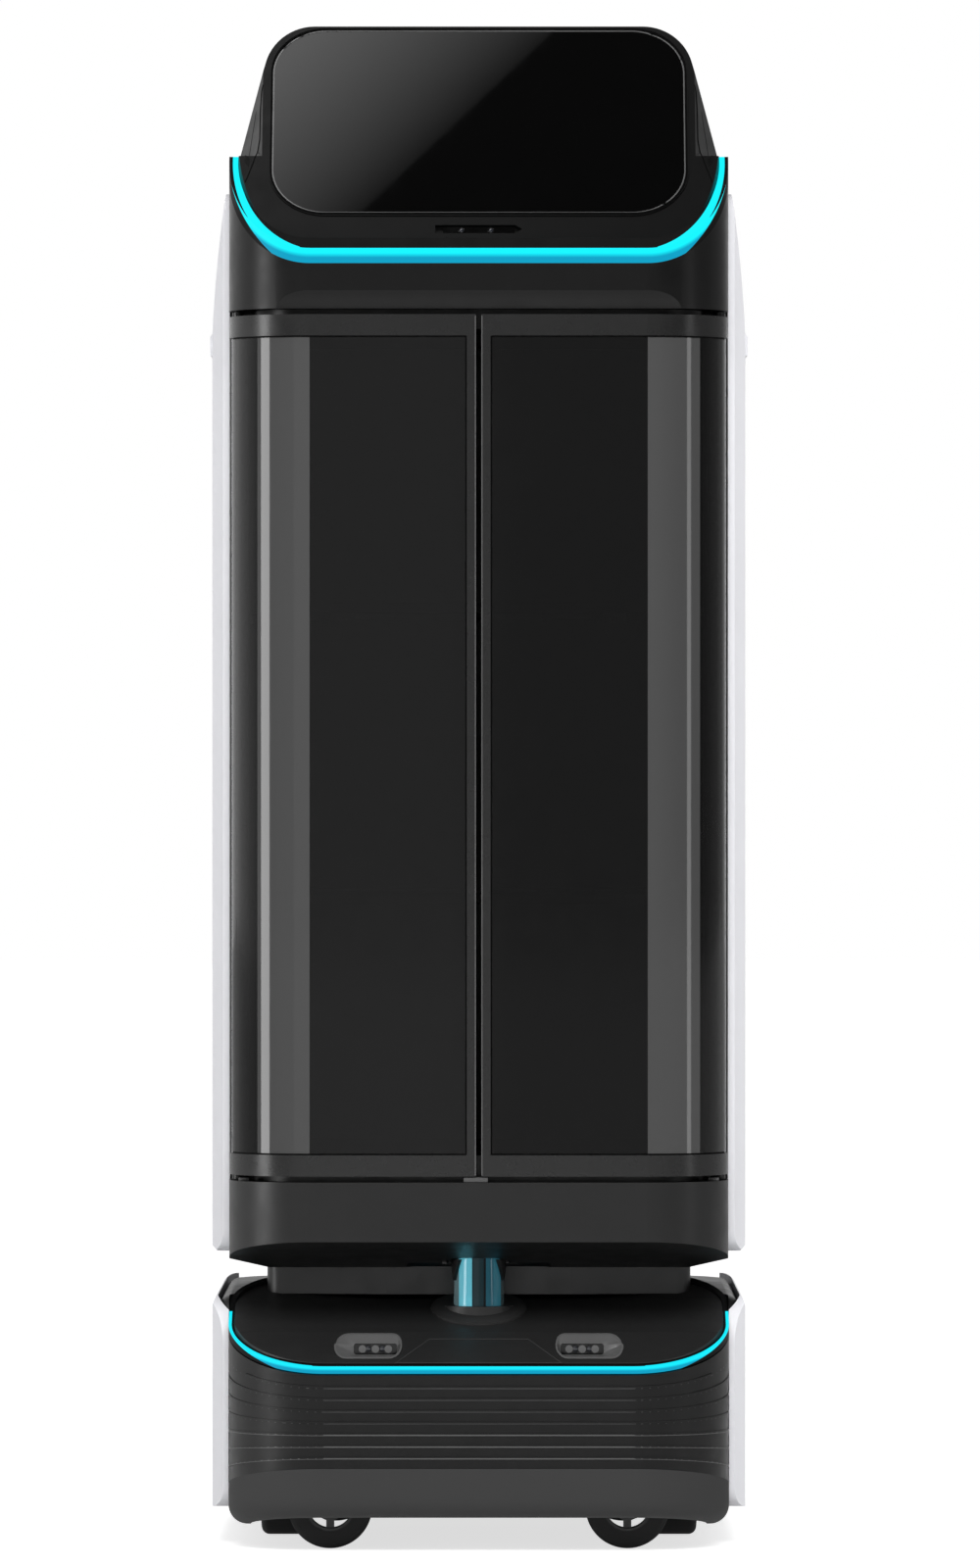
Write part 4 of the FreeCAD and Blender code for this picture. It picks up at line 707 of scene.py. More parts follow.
class Feeler:
    """Finds where a straight line touches the carried-over nodes."""

    trees: dict[str, BVHTree] = {}

    @classmethod
    def tree(cls, node: str) -> BVHTree:
        """The node's faces, sorted for quick search."""
        if node not in cls.trees:
            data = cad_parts[node].data
            cls.trees[node] = BVHTree.FromPolygons([vertex.co for vertex in data.vertices],
                                                   [tuple(face.vertices) for face in data.polygons])
        return cls.trees[node]

    @classmethod
    def touch(cls, nodes: Iterable[str], start: Vector, towards: Vector) -> tuple[Vector, Vector] | None:
        """The nearest touch on the named nodes.

        Args:
            nodes: the nodes' names.
            start: where the line starts.
            towards: its direction.

        Returns:
            The place and the surface's normal, which faces the start, or None where the line misses.
        """
        best = None
        for node in nodes:
            spot, normal, _, reach = cls.tree(node).ray_cast(start, towards)
            if spot is not None and (best is None or reach < best[2]):
                best = (spot, normal if normal.dot(towards) < 0 else -normal, reach)
        return (best[0], best[1]) if best else None

    @classmethod
    def front(cls, nodes: Iterable[str], x: float, z: float) -> tuple[Vector, Vector] | None:
        """The touch of a line that comes straight from the front."""
        return cls.touch(nodes, Vector((x, -1.0, z)), Vector((0.0, 1.0, 0.0)))

    @classmethod
    def trace(cls, nodes: Iterable[str], corners: list[tuple[float, float]], step: float = 0.006,
              proud: float = 0.0) -> list[Vector]:
        """Points on the nodes under a bent line that is seen from the front.

        Args:
            nodes: the nodes' names.
            corners: the line's corners, as x and z.
            step: longest distance between points.
            proud: how far the points stand off the surface.

        Returns:
            The points, without those that miss.
        """
        points: list[Vector] = []
        for (x0, z0), (x1, z1) in zip(corners, corners[1:]):
            parts = max(1, math.ceil(math.hypot(x1 - x0, z1 - z0) / step))
            for part in range(parts + 1):
                share = part / parts
                found = cls.front(nodes, x0 + (x1 - x0) * share, z0 + (z1 - z0) * share)
                if found and (not points or (found[0] + found[1] * proud - points[-1]).length > 0.0002):
                    points.append(found[0] + found[1] * proud)
        return points


def ribbon(name: str, points: list[Vector], rise: Point, thickness: float) -> bpy.types.Object:
    """A thin strip that follows points.

    Args:
        name: the piece's name.
        points: the middle of the strip, in order.
        rise: the strip's width as a vector, the same all along.
        thickness: its thickness.

    Returns:
        The strip, closed.
    """
    rest()
    bpy.ops.mesh.primitive_plane_add(size=1.0, location=points[0])
    piece = bpy.context.active_object
    piece.name = piece.data.name = name
    with editing(piece, "VERT"):
        mesh = bmesh.from_edit_mesh(piece.data)
        mesh.verts.ensure_lookup_table()
        for vertex in mesh.verts[2:]:
            vertex.select_set(True)
        bmesh.update_edit_mesh(piece.data)
        bpy.ops.mesh.delete(type="VERT")
        mesh = bmesh.from_edit_mesh(piece.data)
        for vertex, side in zip(mesh.verts, (-0.5, 0.5)):
            vertex.co = Vector(rise) * side
        bpy.ops.mesh.select_all(action="SELECT")
        for here, following in zip(points, points[1:]):
            bpy.ops.mesh.extrude_region_move(TRANSFORM_OT_translate={"value": following - here})
    settle(piece)
    apply_modifier(piece, "SOLIDIFY", thickness=thickness, offset=0.0)
    return seal(piece)


def skin_of(name: str, node: str, test: Callable[[bmesh.types.BMFace], bool]) -> bpy.types.Object:
    """A copy of some of a node's faces, merged into large faces.

    Args:
        name: the copy's name.
        node: the node.
        test: takes a face and says whether it is wanted.

    Returns:
        The copied faces as a piece.
    """
    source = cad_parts[node]
    piece = bpy.data.objects.new(name, source.data.copy())
    piece.data.name = name
    piece.data.materials.clear()
    bpy.context.scene.collection.objects.link(piece)
    with editing(piece):
        bpy.ops.mesh.select_all(action="SELECT")
        bpy.ops.mesh.remove_doubles(threshold=0.00001)
        bpy.ops.mesh.select_all(action="DESELECT")
        pick_faces(piece, lambda face: not test(face))
        bpy.ops.mesh.delete(type="FACE")
        bpy.ops.mesh.select_all(action="SELECT")
        bpy.ops.mesh.dissolve_limited(angle_limit=math.radians(1.0))
    return piece


def edge_ring(piece: bpy.types.Object, width: float, thickness: float, lift: float = 0.0) -> bpy.types.Object:
    """Turns flat faces into a ring along their outline.

    Args:
        piece: the flat faces.
        width: the ring's width.
        thickness: the ring's thickness, half of it under the faces.
        lift: how far the ring is raised along its normal.

    Returns:
        The ring, closed.
    """
    with editing(piece):
        bpy.ops.mesh.select_all(action="SELECT")
        bpy.ops.mesh.inset(thickness=width, use_even_offset=True)
        bpy.ops.mesh.delete(type="FACE")
        if lift:
            bpy.ops.mesh.select_all(action="SELECT")
            bpy.ops.transform.shrink_fatten(value=lift)
    apply_modifier(piece, "SOLIDIFY", thickness=thickness, offset=0.0)
    return seal(piece, 0.000001)


def onto(spot: Vector, normal: Vector, up: Vector) -> Matrix:
    """Turns a piece modelled at the origin, face up, onto a surface.

    Args:
        spot: the place on the surface.
        normal: the surface's normal, which the piece's Z follows.
        up: the direction that the piece's Y follows as nearly as it can.

    Returns:
        The move.
    """
    across = up.cross(normal).normalized()
    along = normal.cross(across).normalized()
    turn = Matrix((across, along, normal.normalized())).transposed().to_4x4()
    return Matrix.Translation(spot) @ turn


MIRROR = Matrix.Scale(-1.0, 4, Vector((1.0, 0.0, 0.0)))


@dataclass
class SubAssembly:
    """What every sub-assembly does with a finished piece."""

    made: int = field(default=0, init=False)

    def keep(self, piece: bpy.types.Object, finish: Finish, slot: str, body: Body | str = Body.ROBOT,
             smooth: float = 32.0) -> bpy.types.Object:
        """Dresses a finished piece and mounts it on its body.

        Args:
            piece: the finished piece.
            finish: its finish.
            slot: not used.
            body: the body that it rides on.
            smooth: edges flatter than this many degrees are shaded smooth.

        Returns:
            The piece.
        """
        rest()
        piece.select_set(True)
        bpy.context.view_layer.objects.active = piece
        bpy.ops.object.shade_smooth_by_angle(angle=math.radians(smooth))
        piece.data.materials.clear()
        piece.data.materials.append(finish.make())
        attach(piece, body.value if isinstance(body, Body) else body)
        self.made += 1
        log.info("piece %s rides on %s in %s", piece.name, body, finish.name)
        return piece

    def drop(self, piece: bpy.types.Object) -> None:
        """Removes a pattern piece once its copies are made."""
        bpy.data.objects.remove(piece, do_unlink=True)


def dress_nodes() -> None:
    """Gives every carried-over node its finish."""
    for name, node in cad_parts.items():
        finish = NODE_FINISHES[name]
        material = finish.make()
        if not node.material_slots:
            node.data.materials.append(material)
        for slot in node.material_slots:
            slot.material = material
        log.info("node %s wears %s", name, finish.name)


@dataclass
class HeadTrim(SubAssembly):
    """Glass edge, gap round the glass, side seams, speaker slots and the chin's lenses."""

    tilt: float = 33.0
    edge_width: float = 0.0012
    gap_width: float = 0.0018
    seam: tuple[tuple[float, float], ...] = ((-0.1929, 1.3062), (-0.1942, 1.3000), (-0.1951, 1.2834),
                                             (-0.1953, 1.2554), (-0.1972, 1.2441), (-0.2004, 1.2345),
                                             (-0.2048, 1.2223), (-0.2075, 1.2157))
    slot_count: int = 26
    slot_ends: tuple[tuple[float, float], tuple[float, float]] = ((-0.1995, 1.2790), (-0.2065, 1.2327))
    slot_size: Point = (0.0072, 0.0008, 0.0006)
    slot_slant: float = 57.0
    lens_places: tuple[float, float] = (-0.0152, 0.0108)
    lens_height: float = 1.1712

    def build(self) -> None:
        """Makes the head's trim."""
        self.ring_the_glass()
        self.lay_seams()
        self.cut_slots()
        self.fit_lenses()

    def ring_the_glass(self) -> None:
        """The polished edge of the glass, and the black gap round it."""
        lean = math.radians(self.tilt)
        outwards = Vector((0.0, -math.cos(lean), math.sin(lean)))

        def is_front(face: bmesh.types.BMFace) -> bool:
            """Whether the face belongs to the glass's front."""
            return face.normal.dot(outwards) > 0.999

        edge = edge_ring(skin_of("screen_edge", "screen_glass", is_front), self.edge_width, 0.0006, 0.0001)
        self.keep(edge, PALETTE.polished_edge, "screen_glass")
        outline = skin_of("screen_gap", "screen_glass", is_front)
        width, centre = outline.dimensions.x, sum((Vector(corner) for corner in outline.bound_box), Vector()) / 8
        length = math.hypot(outline.dimensions.y, outline.dimensions.z)
        wider, longer = 1.0 + 2 * self.gap_width / width, 1.0 + 2 * self.gap_width / length
        with editing(outline):
            bpy.ops.mesh.select_all(action="SELECT")
            bpy.ops.transform.resize(value=(wider, longer, longer), center_override=centre)
        gap = edge_ring(outline, self.gap_width, 0.0006, 0.0011)
        self.keep(gap, PALETTE.gap_black, "black_plastic")

    def lay_seams(self) -> None:
        """The joint line of each side panel."""
        points = Feeler.trace(["head"], list(self.seam), 0.006, 0.00005)
        seam = ribbon("head_seam_right", points, (0.0009, 0.0, 0.0), 0.0006)
        self.keep(copy_of(seam, "head_seam_left", MIRROR), PALETTE.gap_black, "black_plastic")
        self.keep(seam, PALETTE.gap_black, "black_plastic")

    def cut_slots(self) -> None:
        """The fine slanting speaker slots of both sides."""
        pattern = ease_edges(block("slot_pattern", self.slot_size, (0.0, 0.0, 0.0)), 0.00022, 1)
        slant = math.radians(self.slot_slant)
        (top_x, top_z), (foot_x, foot_z) = self.slot_ends
        for number in range(self.slot_count):
            share = number / (self.slot_count - 1)
            found = Feeler.front(["head"], top_x + (foot_x - top_x) * share, top_z + (foot_z - top_z) * share)
            if found is None:
                continue
            spot, normal = found
            run = Vector((math.cos(slant), 0.0, -math.sin(slant)))
            run = (run - normal * run.dot(normal)).normalized()
            move = onto(spot - normal * 0.0002, normal, normal.cross(run))
            right = copy_of(pattern, f"speaker_slot_right_{number + 1:02d}", move)
            self.keep(copy_of(right, f"speaker_slot_left_{number + 1:02d}", MIRROR), PALETTE.gap_black,
                      "black_plastic")
            self.keep(right, PALETTE.gap_black, "black_plastic")
        self.drop(pattern)

    def fit_lenses(self) -> None:
        """The face camera's two lenses, each a glass dome in a ring."""
        for number, x in enumerate(self.lens_places, 1):
            found = Feeler.front(["face_camera", "head"], x, self.lens_height)
            if found is None:
                continue
            spot, normal = found
            self.keep(lens_ring(f"chin_ring_{number}", 0.0029, 0.0006, spot, normal), PALETTE.gloss, "gloss_black")
            self.keep(lens_dome(f"chin_lens_{number}", 0.0019, 0.0009, spot, normal), PALETTE.lens, "gloss_black")


def lens_dome(name: str, radius: float, height: float, spot: Vector, normal: Vector) -> bpy.types.Object:
    """A shallow glass dome on a surface.

    Args:
        name: the piece's name.
        radius: its radius.
        height: how far it stands out.
        spot: its place.
        normal: the direction that it faces.

    Returns:
        The dome, closed.
    """
    dome = disc(name, radius, height * 0.6, (0.0, 0.0, 0.0), sides=24)
    for grow, lift in ((0.82, 0.28), (0.5, 0.22)):
        with editing(dome):
            pick_faces(dome, lambda face: face.normal.z > 0.9 and face.calc_center_median().z
                       >= max(vertex.co.z for vertex in face.verts) - 1e-6 and len(face.verts) > 8)
            bpy.ops.mesh.inset(thickness=radius * (1 - grow) * 0.6)
            bpy.ops.transform.translate(value=(0.0, 0.0, height * lift))
    dome.data.transform(onto(spot, normal, Vector((0.0, 0.0, 1.0))))
    return dome


def lens_ring(name: str, radius: float, height: float, spot: Vector, normal: Vector) -> bpy.types.Object:
    """A ring whose middle is sunk, for a lens.

    Args:
        name: the piece's name.
        radius: its outer radius.
        height: how far it stands out.
        spot: its place.
        normal: the direction that it faces.

    Returns:
        The ring, closed.
    """
    ring = disc(name, radius, height * 2, (0.0, 0.0, 0.0), sides=28)
    with editing(ring):
        pick_faces(ring, lambda face: face.normal.z > 0.9)
        bpy.ops.mesh.inset(thickness=radius * 0.22)
        bpy.ops.mesh.extrude_region_move(TRANSFORM_OT_translate={"value": (0.0, 0.0, -height * 0.7)})
    ease_edges(ring, radius * 0.06, 1)
    ring.data.transform(onto(spot, normal, Vector((0.0, 0.0, 1.0))))
    return ring


def socket_screw(name: str, radius: float, height: float) -> bpy.types.Object:
    """A pan-head screw with a six-sided socket, head up at the origin.

    Args:
        name: the piece's name.
        radius: the head's radius.
        height: the head's height.

    Returns:
        The screw's head.
    """
    head = disc(name, radius, height * 1.5, (0.0, 0.0, height * 0.25), sides=24)
    with editing(head, "EDGE"):
        pick_edges(head, lambda edge: all(vertex.co.z > height * 0.9 for vertex in edge.verts))
        bpy.ops.mesh.bevel(offset=height * 0.35, segments=3, affect="EDGES")
    with editing(head):
        pick_faces(head, lambda face: face.normal.z > 0.99)
        bpy.ops.mesh.inset(thickness=radius * 0.3)
        bpy.ops.mesh.extrude_region_move(TRANSFORM_OT_translate={"value": (0.0, 0.0, -height * 0.55)})
        bpy.ops.transform.resize(value=(0.86, 0.86, 1.0))
    return head


@dataclass
class SensorTrim(SubAssembly):
    """Lidar recess screws, pod lenses and window bezels, and the nose plate's outline."""

    recess_screws: tuple[tuple[float, float], ...] = ((-0.0302, -0.135), (0.0241, -0.135))
    pod_window_x: float = 0.0918
    pod_window_z: float = 0.1792
    lens_offsets: tuple[float, ...] = (-0.0062, 0.0066)
    plate_corners: tuple[tuple[float, float], ...] = ((-0.0738, 0.1690), (0.0738, 0.1690), (0.0440, 0.1881),
                                                      (-0.0440, 0.1881))
    outline_width: float = 0.0008
    pane_size: tuple[float, float] = (0.0384, 0.0098)
    foot_radius: float = 0.043
    foot_rise: float = 0.0075
    foot_feel: float = 0.034
    foot_y: float = -0.133

    def build(self) -> None:
        """Makes the sensors' trim."""
        self.fit_recess_screws()
        self.fit_pod_lenses()
        self.skirt_lidar()
        self.outline_plate()

    def fit_recess_screws(self) -> None:
        """Two screw heads under the recess over the lidar."""
        pattern = socket_screw("screw_pattern", 0.0031, 0.0016)
        for number, (x, y) in enumerate(self.recess_screws, 1):
            found = Feeler.touch(["lower_housing"], Vector((x, y, 0.20)), Vector((0.0, 0.0, 1.0)))
            if found:
                piece = copy_of(pattern, f"recess_screw_{number}",
                                onto(found[0] + found[1] * 0.0012, found[1], Vector((0.0, 1.0, 0.0))))
                self.keep(piece, PALETTE.screw, "steel_plate")
        self.drop(pattern)

    def fit_pod_lenses(self) -> None:
        """Three lenses in each pod's window."""
        for side, name in ((1, "left"), (-1, "right")):
            self.fit_window(name, side)
            for number, offset in enumerate(self.lens_offsets, 1):
                x = side * (self.pod_window_x + offset)
                found = Feeler.front([f"camera_pod_{name}"], x, self.pod_window_z)
                if found is None:
                    continue
                spot, normal = found
                self.keep(lens_ring(f"pod_ring_{name}_{number}", 0.0040, 0.0007, spot, normal), PALETTE.gloss,
                          "gloss_black")
                self.keep(lens_dome(f"pod_lens_{name}_{number}", 0.0027, 0.0014, spot, normal), PALETTE.lens,
                          "gloss_black")

    def fit_window(self, name: str, side: int) -> None:
        """The gloss black pane behind each pod's funnel.

        Args:
            name: the side's name.
            side: one for the left pod, minus one for the right.
        """
        found = Feeler.front([f"camera_pod_{name}"], side * (self.pod_window_x + 0.006), self.pod_window_z)
        if found is None:
            return
        width, height = self.pane_size
        pane = block(f"pod_pane_{name}", (width, 0.0008, height),
                     (side * self.pod_window_x, found[0].y, self.pod_window_z))
        with editing(pane, "EDGE"):
            pick_edges(pane, lambda edge: abs(edge.verts[0].co.y - edge.verts[1].co.y) > 0.0004)
            bpy.ops.mesh.bevel(offset=0.0024, segments=5, affect="EDGES")
        ease_edges(pane, 0.0002, 1)
        self.keep(pane, PALETTE.gloss, "gloss_black")

    def skirt_lidar(self) -> None:
        """The wide soft foot that the lidar's column stands on."""
        found = Feeler.touch(["deck_cover"], Vector((self.foot_feel, self.foot_y, 0.26)), Vector((0.0, 0.0, -1.0)))
        if found is None:
            return
        spot, normal = found
        spot.x, normal.x = 0.0, 0.0
        foot = lens_dome("lidar_foot", self.foot_radius, self.foot_rise, spot, normal.normalized())
        self.keep(foot, PALETTE.foot_satin, "black_plastic", smooth=60.0)

    def outline_plate(self) -> None:
        """A fine bright line along the bare nose plate's edge."""
        rest()
        bpy.ops.mesh.primitive_plane_add(size=1.0, location=(0.0, 0.0, 0.0))
        outline = bpy.context.active_object
        outline.name = outline.data.name = "nose_outline"
        with editing(outline, "VERT"):
            mesh = bmesh.from_edit_mesh(outline.data)
            mesh.faces.ensure_lookup_table()
            for vertex, (x, z) in zip(mesh.faces[0].verts, self.plate_corners):
                spot, normal = Feeler.front(["deck_cover"], x, z)
                vertex.co = spot + normal * 0.0001
            bmesh.update_edit_mesh(outline.data)
        self.keep(edge_ring(outline, self.outline_width, 0.0006), PALETTE.fine_line, "black_plastic")


@dataclass
class RibTrim(SubAssembly):
    """Painted highlights: a fine light line along each rib of the band, standing in for the light that the rib's
    edge catches, let into the rib so that it stands 0.02 mm proud.
    """

    count: int = 7
    top: float = 0.1479
    pitch: float = 0.01043
    rise: float = 0.261
    rise_step: float = -0.0675
    height: float = 0.0018
    half_width: float = 0.2233
    corner: float = 0.087
    front: float = -0.25
    proud: float = 0.0008
    reach: float = 0.004
    sunk: float = 0.00013
    side_end: float = -0.152
    line: float = 0.0012

    def build(self) -> None:
        """Makes the seven painted highlight lines."""
        for number in range(self.count):
            line = ribbon(f"rib_highlight_line_{number + 1}", self.route(number), (0.0, 0.0, self.line), 0.0003)
            self.keep(line, PALETTE.rib_highlight_paint, "black_plastic")

    def route(self, number: int) -> list[Vector]:
        """The points of one line, from the right side round the front to the left.

        Args:
            number: the rib's number from the top, from nought.

        Returns:
            The points.
        """
        radius = self.corner + self.proud
        inner, middle = self.half_width - self.corner, self.front + self.corner
        plan: list[tuple[float, float]] = [(-self.half_width - self.proud, self.side_end)]
        for step in range(19):
            angle = math.radians(5.0 * step)
            plan.append((-inner - radius * math.cos(angle), middle - radius * math.sin(angle)))
        plan += [(-inner / 2, self.front - self.proud), (0.0, self.front - self.proud)]
        plan += [(-x, y) for x, y in reversed(plan[:-1])]
        level = self.top - self.pitch * number - self.height / 2
        slope = self.rise + self.rise_step * number
        points: list[Vector] = []
        for x, y in plan:
            spot = Vector((x, y, level + slope * (y - self.front)))
            core = Vector((max(-inner, min(inner, x)), max(middle, y), spot.z))
            outwards = (spot - core).normalized()
            found = Feeler.touch(["chassis_shell"], spot + outwards * self.reach, -outwards)
            points.append((found[0] if found else spot) - outwards * self.sunk)
        return points


@dataclass
class DoorTrim(SubAssembly):
    """Seals round the door glass, the bright meeting edges and the small stops under the doors."""

    seal_heights: tuple[float, float] = (0.3535, 1.0768)
    seal_start: float = 0.0112
    seal_end: float = 0.2180
    seal_width: float = 0.0014
    edge_x: float = 0.0029
    edge_span: tuple[float, float] = (0.3350, 1.0950)
    stop_x: tuple[float, float] = (-0.0134, 0.0082)
    stop_z: tuple[float, float] = (0.3288, 0.3332)
    hinge_x: tuple[float, float] = (0.2036, 0.2132)
    hinge_z: tuple[float, float] = (0.3288, 0.3318)

    def build(self) -> None:
        """Makes the doors' trim."""
        self.seal_glass()
        self.edge_doors()
        self.fit_stop()
        self.fit_hinge_plates()

    def seal_glass(self) -> None:
        """Black seals along the glass at both rails and at the meeting stile."""
        low, high = self.seal_heights
        for name, height in (("low", low), ("high", high)):
            points = Feeler.trace(["door_glass_left", "door_band_left"],
                                  [(self.seal_start, height), (self.seal_end, height)], 0.005, 0.0001)
            left = ribbon(f"door_seal_{name}_left", points, (0.0, 0.0, self.seal_width), 0.0008)
            self.keep(copy_of(left, f"door_seal_{name}_right", MIRROR), PALETTE.gap_black, "black_plastic",
                      Body.DOOR_RIGHT)
            self.keep(left, PALETTE.gap_black, "black_plastic", Body.DOOR_LEFT)
        points = Feeler.trace(["door_glass_left"], [(self.seal_start, low), (self.seal_start, high)], 0.4, 0.0001)
        left = ribbon("door_seal_stile_left", points, (self.seal_width, 0.0, 0.0), 0.0008)
        self.keep(copy_of(left, "door_seal_stile_right", MIRROR), PALETTE.gap_black, "black_plastic",
                  Body.DOOR_RIGHT)
        self.keep(left, PALETTE.gap_black, "black_plastic", Body.DOOR_LEFT)

    def edge_doors(self) -> None:
        """The bright chamfer along each meeting edge."""
        low, high = self.edge_span
        points = Feeler.trace(["door_frame_left"], [(self.edge_x, low), (self.edge_x, high)], 0.5, -0.00019)
        left = ribbon("door_edge_left", points, (0.0008, 0.0, 0.0), 0.0004)
        self.keep(copy_of(left, "door_edge_right", MIRROR), PALETTE.polished_edge, "door_frame", Body.DOOR_RIGHT)
        self.keep(left, PALETTE.polished_edge, "door_frame", Body.DOOR_LEFT)

    def fit_stop(self) -> None:
        """The grey rest under the doors' meeting edges."""
        (x0, x1), (z0, z1) = self.stop_x, self.stop_z
        rest_block = block("door_rest", (x1 - x0, 0.012, z1 - z0), ((x0 + x1) / 2, -0.2425, (z0 + z1) / 2))
        self.keep(ease_edges(rest_block, 0.0007, 2), PALETTE.rest_grey, "black_plastic")

    def fit_hinge_plates(self) -> None:
        """The small plates beside the lower hinges."""
        (x0, x1), (z0, z1) = self.hinge_x, self.hinge_z
        left = block("hinge_plate_left", (x1 - x0, 0.022, z1 - z0), ((x0 + x1) / 2, -0.200, (z0 + z1) / 2))
        ease_edges(left, 0.0006, 2)
        self.keep(copy_of(left, "hinge_plate_right", MIRROR), PALETTE.rest_grey, "black_plastic")
        self.keep(left, PALETTE.rest_grey, "black_plastic")


@dataclass
class CabinTrim(SubAssembly):
    """Edge strips of the shelves, light covers on the cabin walls and rails under the shelves."""

    shelf_fronts: tuple[tuple[str, float, float], ...] = (("upper", 0.8323, 0.8410), ("lower", 0.5758, 0.5845))
    half_width: float = 0.1995
    front: float = -0.2275
    cover_x: float = 0.2055
    cover_y: float = -0.1405
    cover_z: tuple[float, float] = (0.372, 1.064)
    rail_size: Point = (0.010, 0.30, 0.008)

    def build(self) -> None:
        """Makes the cabin's trim."""
        for name, low, high in self.shelf_fronts:
            self.edge_shelf(name, low, high)
            self.rail_shelf(name, low)
        self.cover_lights()

    def edge_shelf(self, name: str, low: float, high: float) -> None:
        """A soft black lip along a shelf's front edge.

        Args:
            name: the shelf's name.
            low: its underside.
            high: its top.
        """
        found = Feeler.front([f"shelf_{name}"], 0.0, (low + high) / 2)
        front = found[0].y if found else self.front
        lip = block(f"shelf_lip_{name}", (0.26, 0.0022, high - low + 0.001), (0.0, front - 0.0008, (low + high) / 2))
        self.keep(ease_edges(lip, 0.0008, 2), PALETTE.trim_rubber, "cabin_lining")

    def rail_shelf(self, name: str, low: float) -> None:
        """The rails that carry a shelf, one on each wall.

        Args:
            name: the shelf's name.
            low: the shelf's underside.
        """
        width, length, height = self.rail_size
        left = block(f"shelf_rail_{name}_left", (width, length, height),
                     (0.2068 - width / 2, 0.02, low - 0.0002 - height / 2))
        with editing(left, "EDGE"):
            pick_edges(left, lambda edge: all(vertex.co.z < low - height * 0.9 and vertex.co.x < 0.2
                                              for vertex in edge.verts))
            bpy.ops.mesh.bevel(offset=0.004, segments=1, affect="EDGES")
        ease_edges(left, 0.0006, 1)
        self.keep(copy_of(left, f"shelf_rail_{name}_right", MIRROR), PALETTE.lining, "cabin_lining")
        self.keep(left, PALETTE.lining, "cabin_lining")

    def cover_lights(self) -> None:
        """A slim unlit light cover on each wall, behind the doors."""
        low, high = self.cover_z
        left = block("cabin_light_left", (0.0024, 0.010, high - low), (self.cover_x, self.cover_y, (low + high) / 2))
        ease_edges(left, 0.0009, 2)
        self.keep(copy_of(left, "cabin_light_right", MIRROR), PALETTE.lining, "cabin_lining")
        self.keep(left, PALETTE.lining, "cabin_lining")


@dataclass
class WheelTrim(SubAssembly):
    """Axle nuts of the casters, hub screws and treads of the drive wheels."""

    caster_x: float = 0.1324
    caster_y: float = 0.170
    axle_height: float = 0.0375
    nut_radius: float = 0.0062
    nut_reach: float = 0.0200
    hub_height: float = 0.084
    screw_circle: float = 0.020
    screw_count: int = 5
    tread_radius: float = 0.0838
    tread_count: int = 36

    def build(self) -> None:
        """Makes the wheels' trim."""
        self.fit_nuts()
        self.fit_hub_screws()
        self.cut_treads()

    def fit_nuts(self) -> None:
        """A six-sided nut on each end of every caster's axle."""
        pattern = disc("nut_pattern", self.nut_radius, 0.0034, (0.0, 0.0, 0.0), sides=6)
        with editing(pattern):
            pick_faces(pattern, lambda face: face.normal.z > 0.9)
            bpy.ops.mesh.inset(thickness=0.0024)
            bpy.ops.mesh.extrude_region_move(TRANSFORM_OT_translate={"value": (0.0, 0.0, 0.0012)})
        ease_edges(pattern, 0.0003, 1)
        for end, y_side in (("front", -1), ("rear", 1)):
            for hand, x_side in (("left", 1), ("right", -1)):
                for face, side in (("out", 1), ("in", -1)):
                    place = Vector((x_side * self.caster_x, y_side * self.caster_y, self.axle_height))
                    found = Feeler.touch([f"caster_fork_{end}_{hand}"], place + Vector((0.0, side * 0.06, 0.0)),
                                         Vector((0.0, -float(side), 0.0)))
                    spot = found[0] if found else place + Vector((0.0, side * self.nut_reach, 0.0))
                    move = onto(spot + Vector((0.0, side * 0.0012, 0.0)), Vector((0.0, float(side), 0.0)),
                                Vector((0.0, 0.0, 1.0)))
                    nut = copy_of(pattern, f"caster_nut_{end}_{hand}_{face}", move)
                    self.keep(nut, PALETTE.screw, "fork_steel", f"caster_{end}_{hand}")
        self.drop(pattern)

    def fit_hub_screws(self) -> None:
        """Five socket screws on each drive hub's outer face."""
        pattern = socket_screw("hub_screw_pattern", 0.0036, 0.0022)
        for hand, side in (("left", 1), ("right", -1)):
            for number in range(self.screw_count):
                angle = math.radians(90.0 + 360.0 / self.screw_count * number)
                start = Vector((side * 0.23, self.screw_circle * math.cos(angle),
                                self.hub_height + self.screw_circle * math.sin(angle)))
                found = Feeler.touch([f"drive_hub_{hand}"], start, Vector((-float(side), 0.0, 0.0)))
                if found:
                    screw = copy_of(pattern, f"hub_screw_{hand}_{number + 1}",
                                    onto(found[0], Vector((float(side), 0.0, 0.0)), Vector((0.0, 0.0, 1.0))))
                    self.keep(screw, PALETTE.screw, "hub_metal", f"drive_wheel_{hand}")
        self.drop(pattern)

    def cut_treads(self) -> None:
        """Cross bars of the drive tyres' tread, modelled once and turned round the axle."""
        pattern = block("tread_pattern", (0.030, 0.0058, 0.0012), (0.0, 0.0, 0.0))
        ease_edges(pattern, 0.0005, 1)
        for hand, side in (("left", 1), ("right", -1)):
            bars = []
            for number in range(self.tread_count):
                turn = Matrix.Rotation(2 * math.pi * number / self.tread_count, 4, "X")
                move = Matrix.Translation(Vector((side * 0.175, 0.0, self.hub_height))) @ turn \
                    @ Matrix.Translation(Vector((0.0, 0.0, self.tread_radius - 0.0004)))
                bars.append(copy_of(pattern, f"tread_{hand}_{number}", move))
            rest()
            for bar in bars:
                bar.select_set(True)
            bpy.context.view_layer.objects.active = bars[0]
            bpy.ops.object.join()
            bars[0].name = bars[0].data.name = f"drive_tread_{hand}"
            self.keep(bars[0], PALETTE.tyre, "tyre_rubber", f"drive_wheel_{hand}")
        self.drop(pattern)


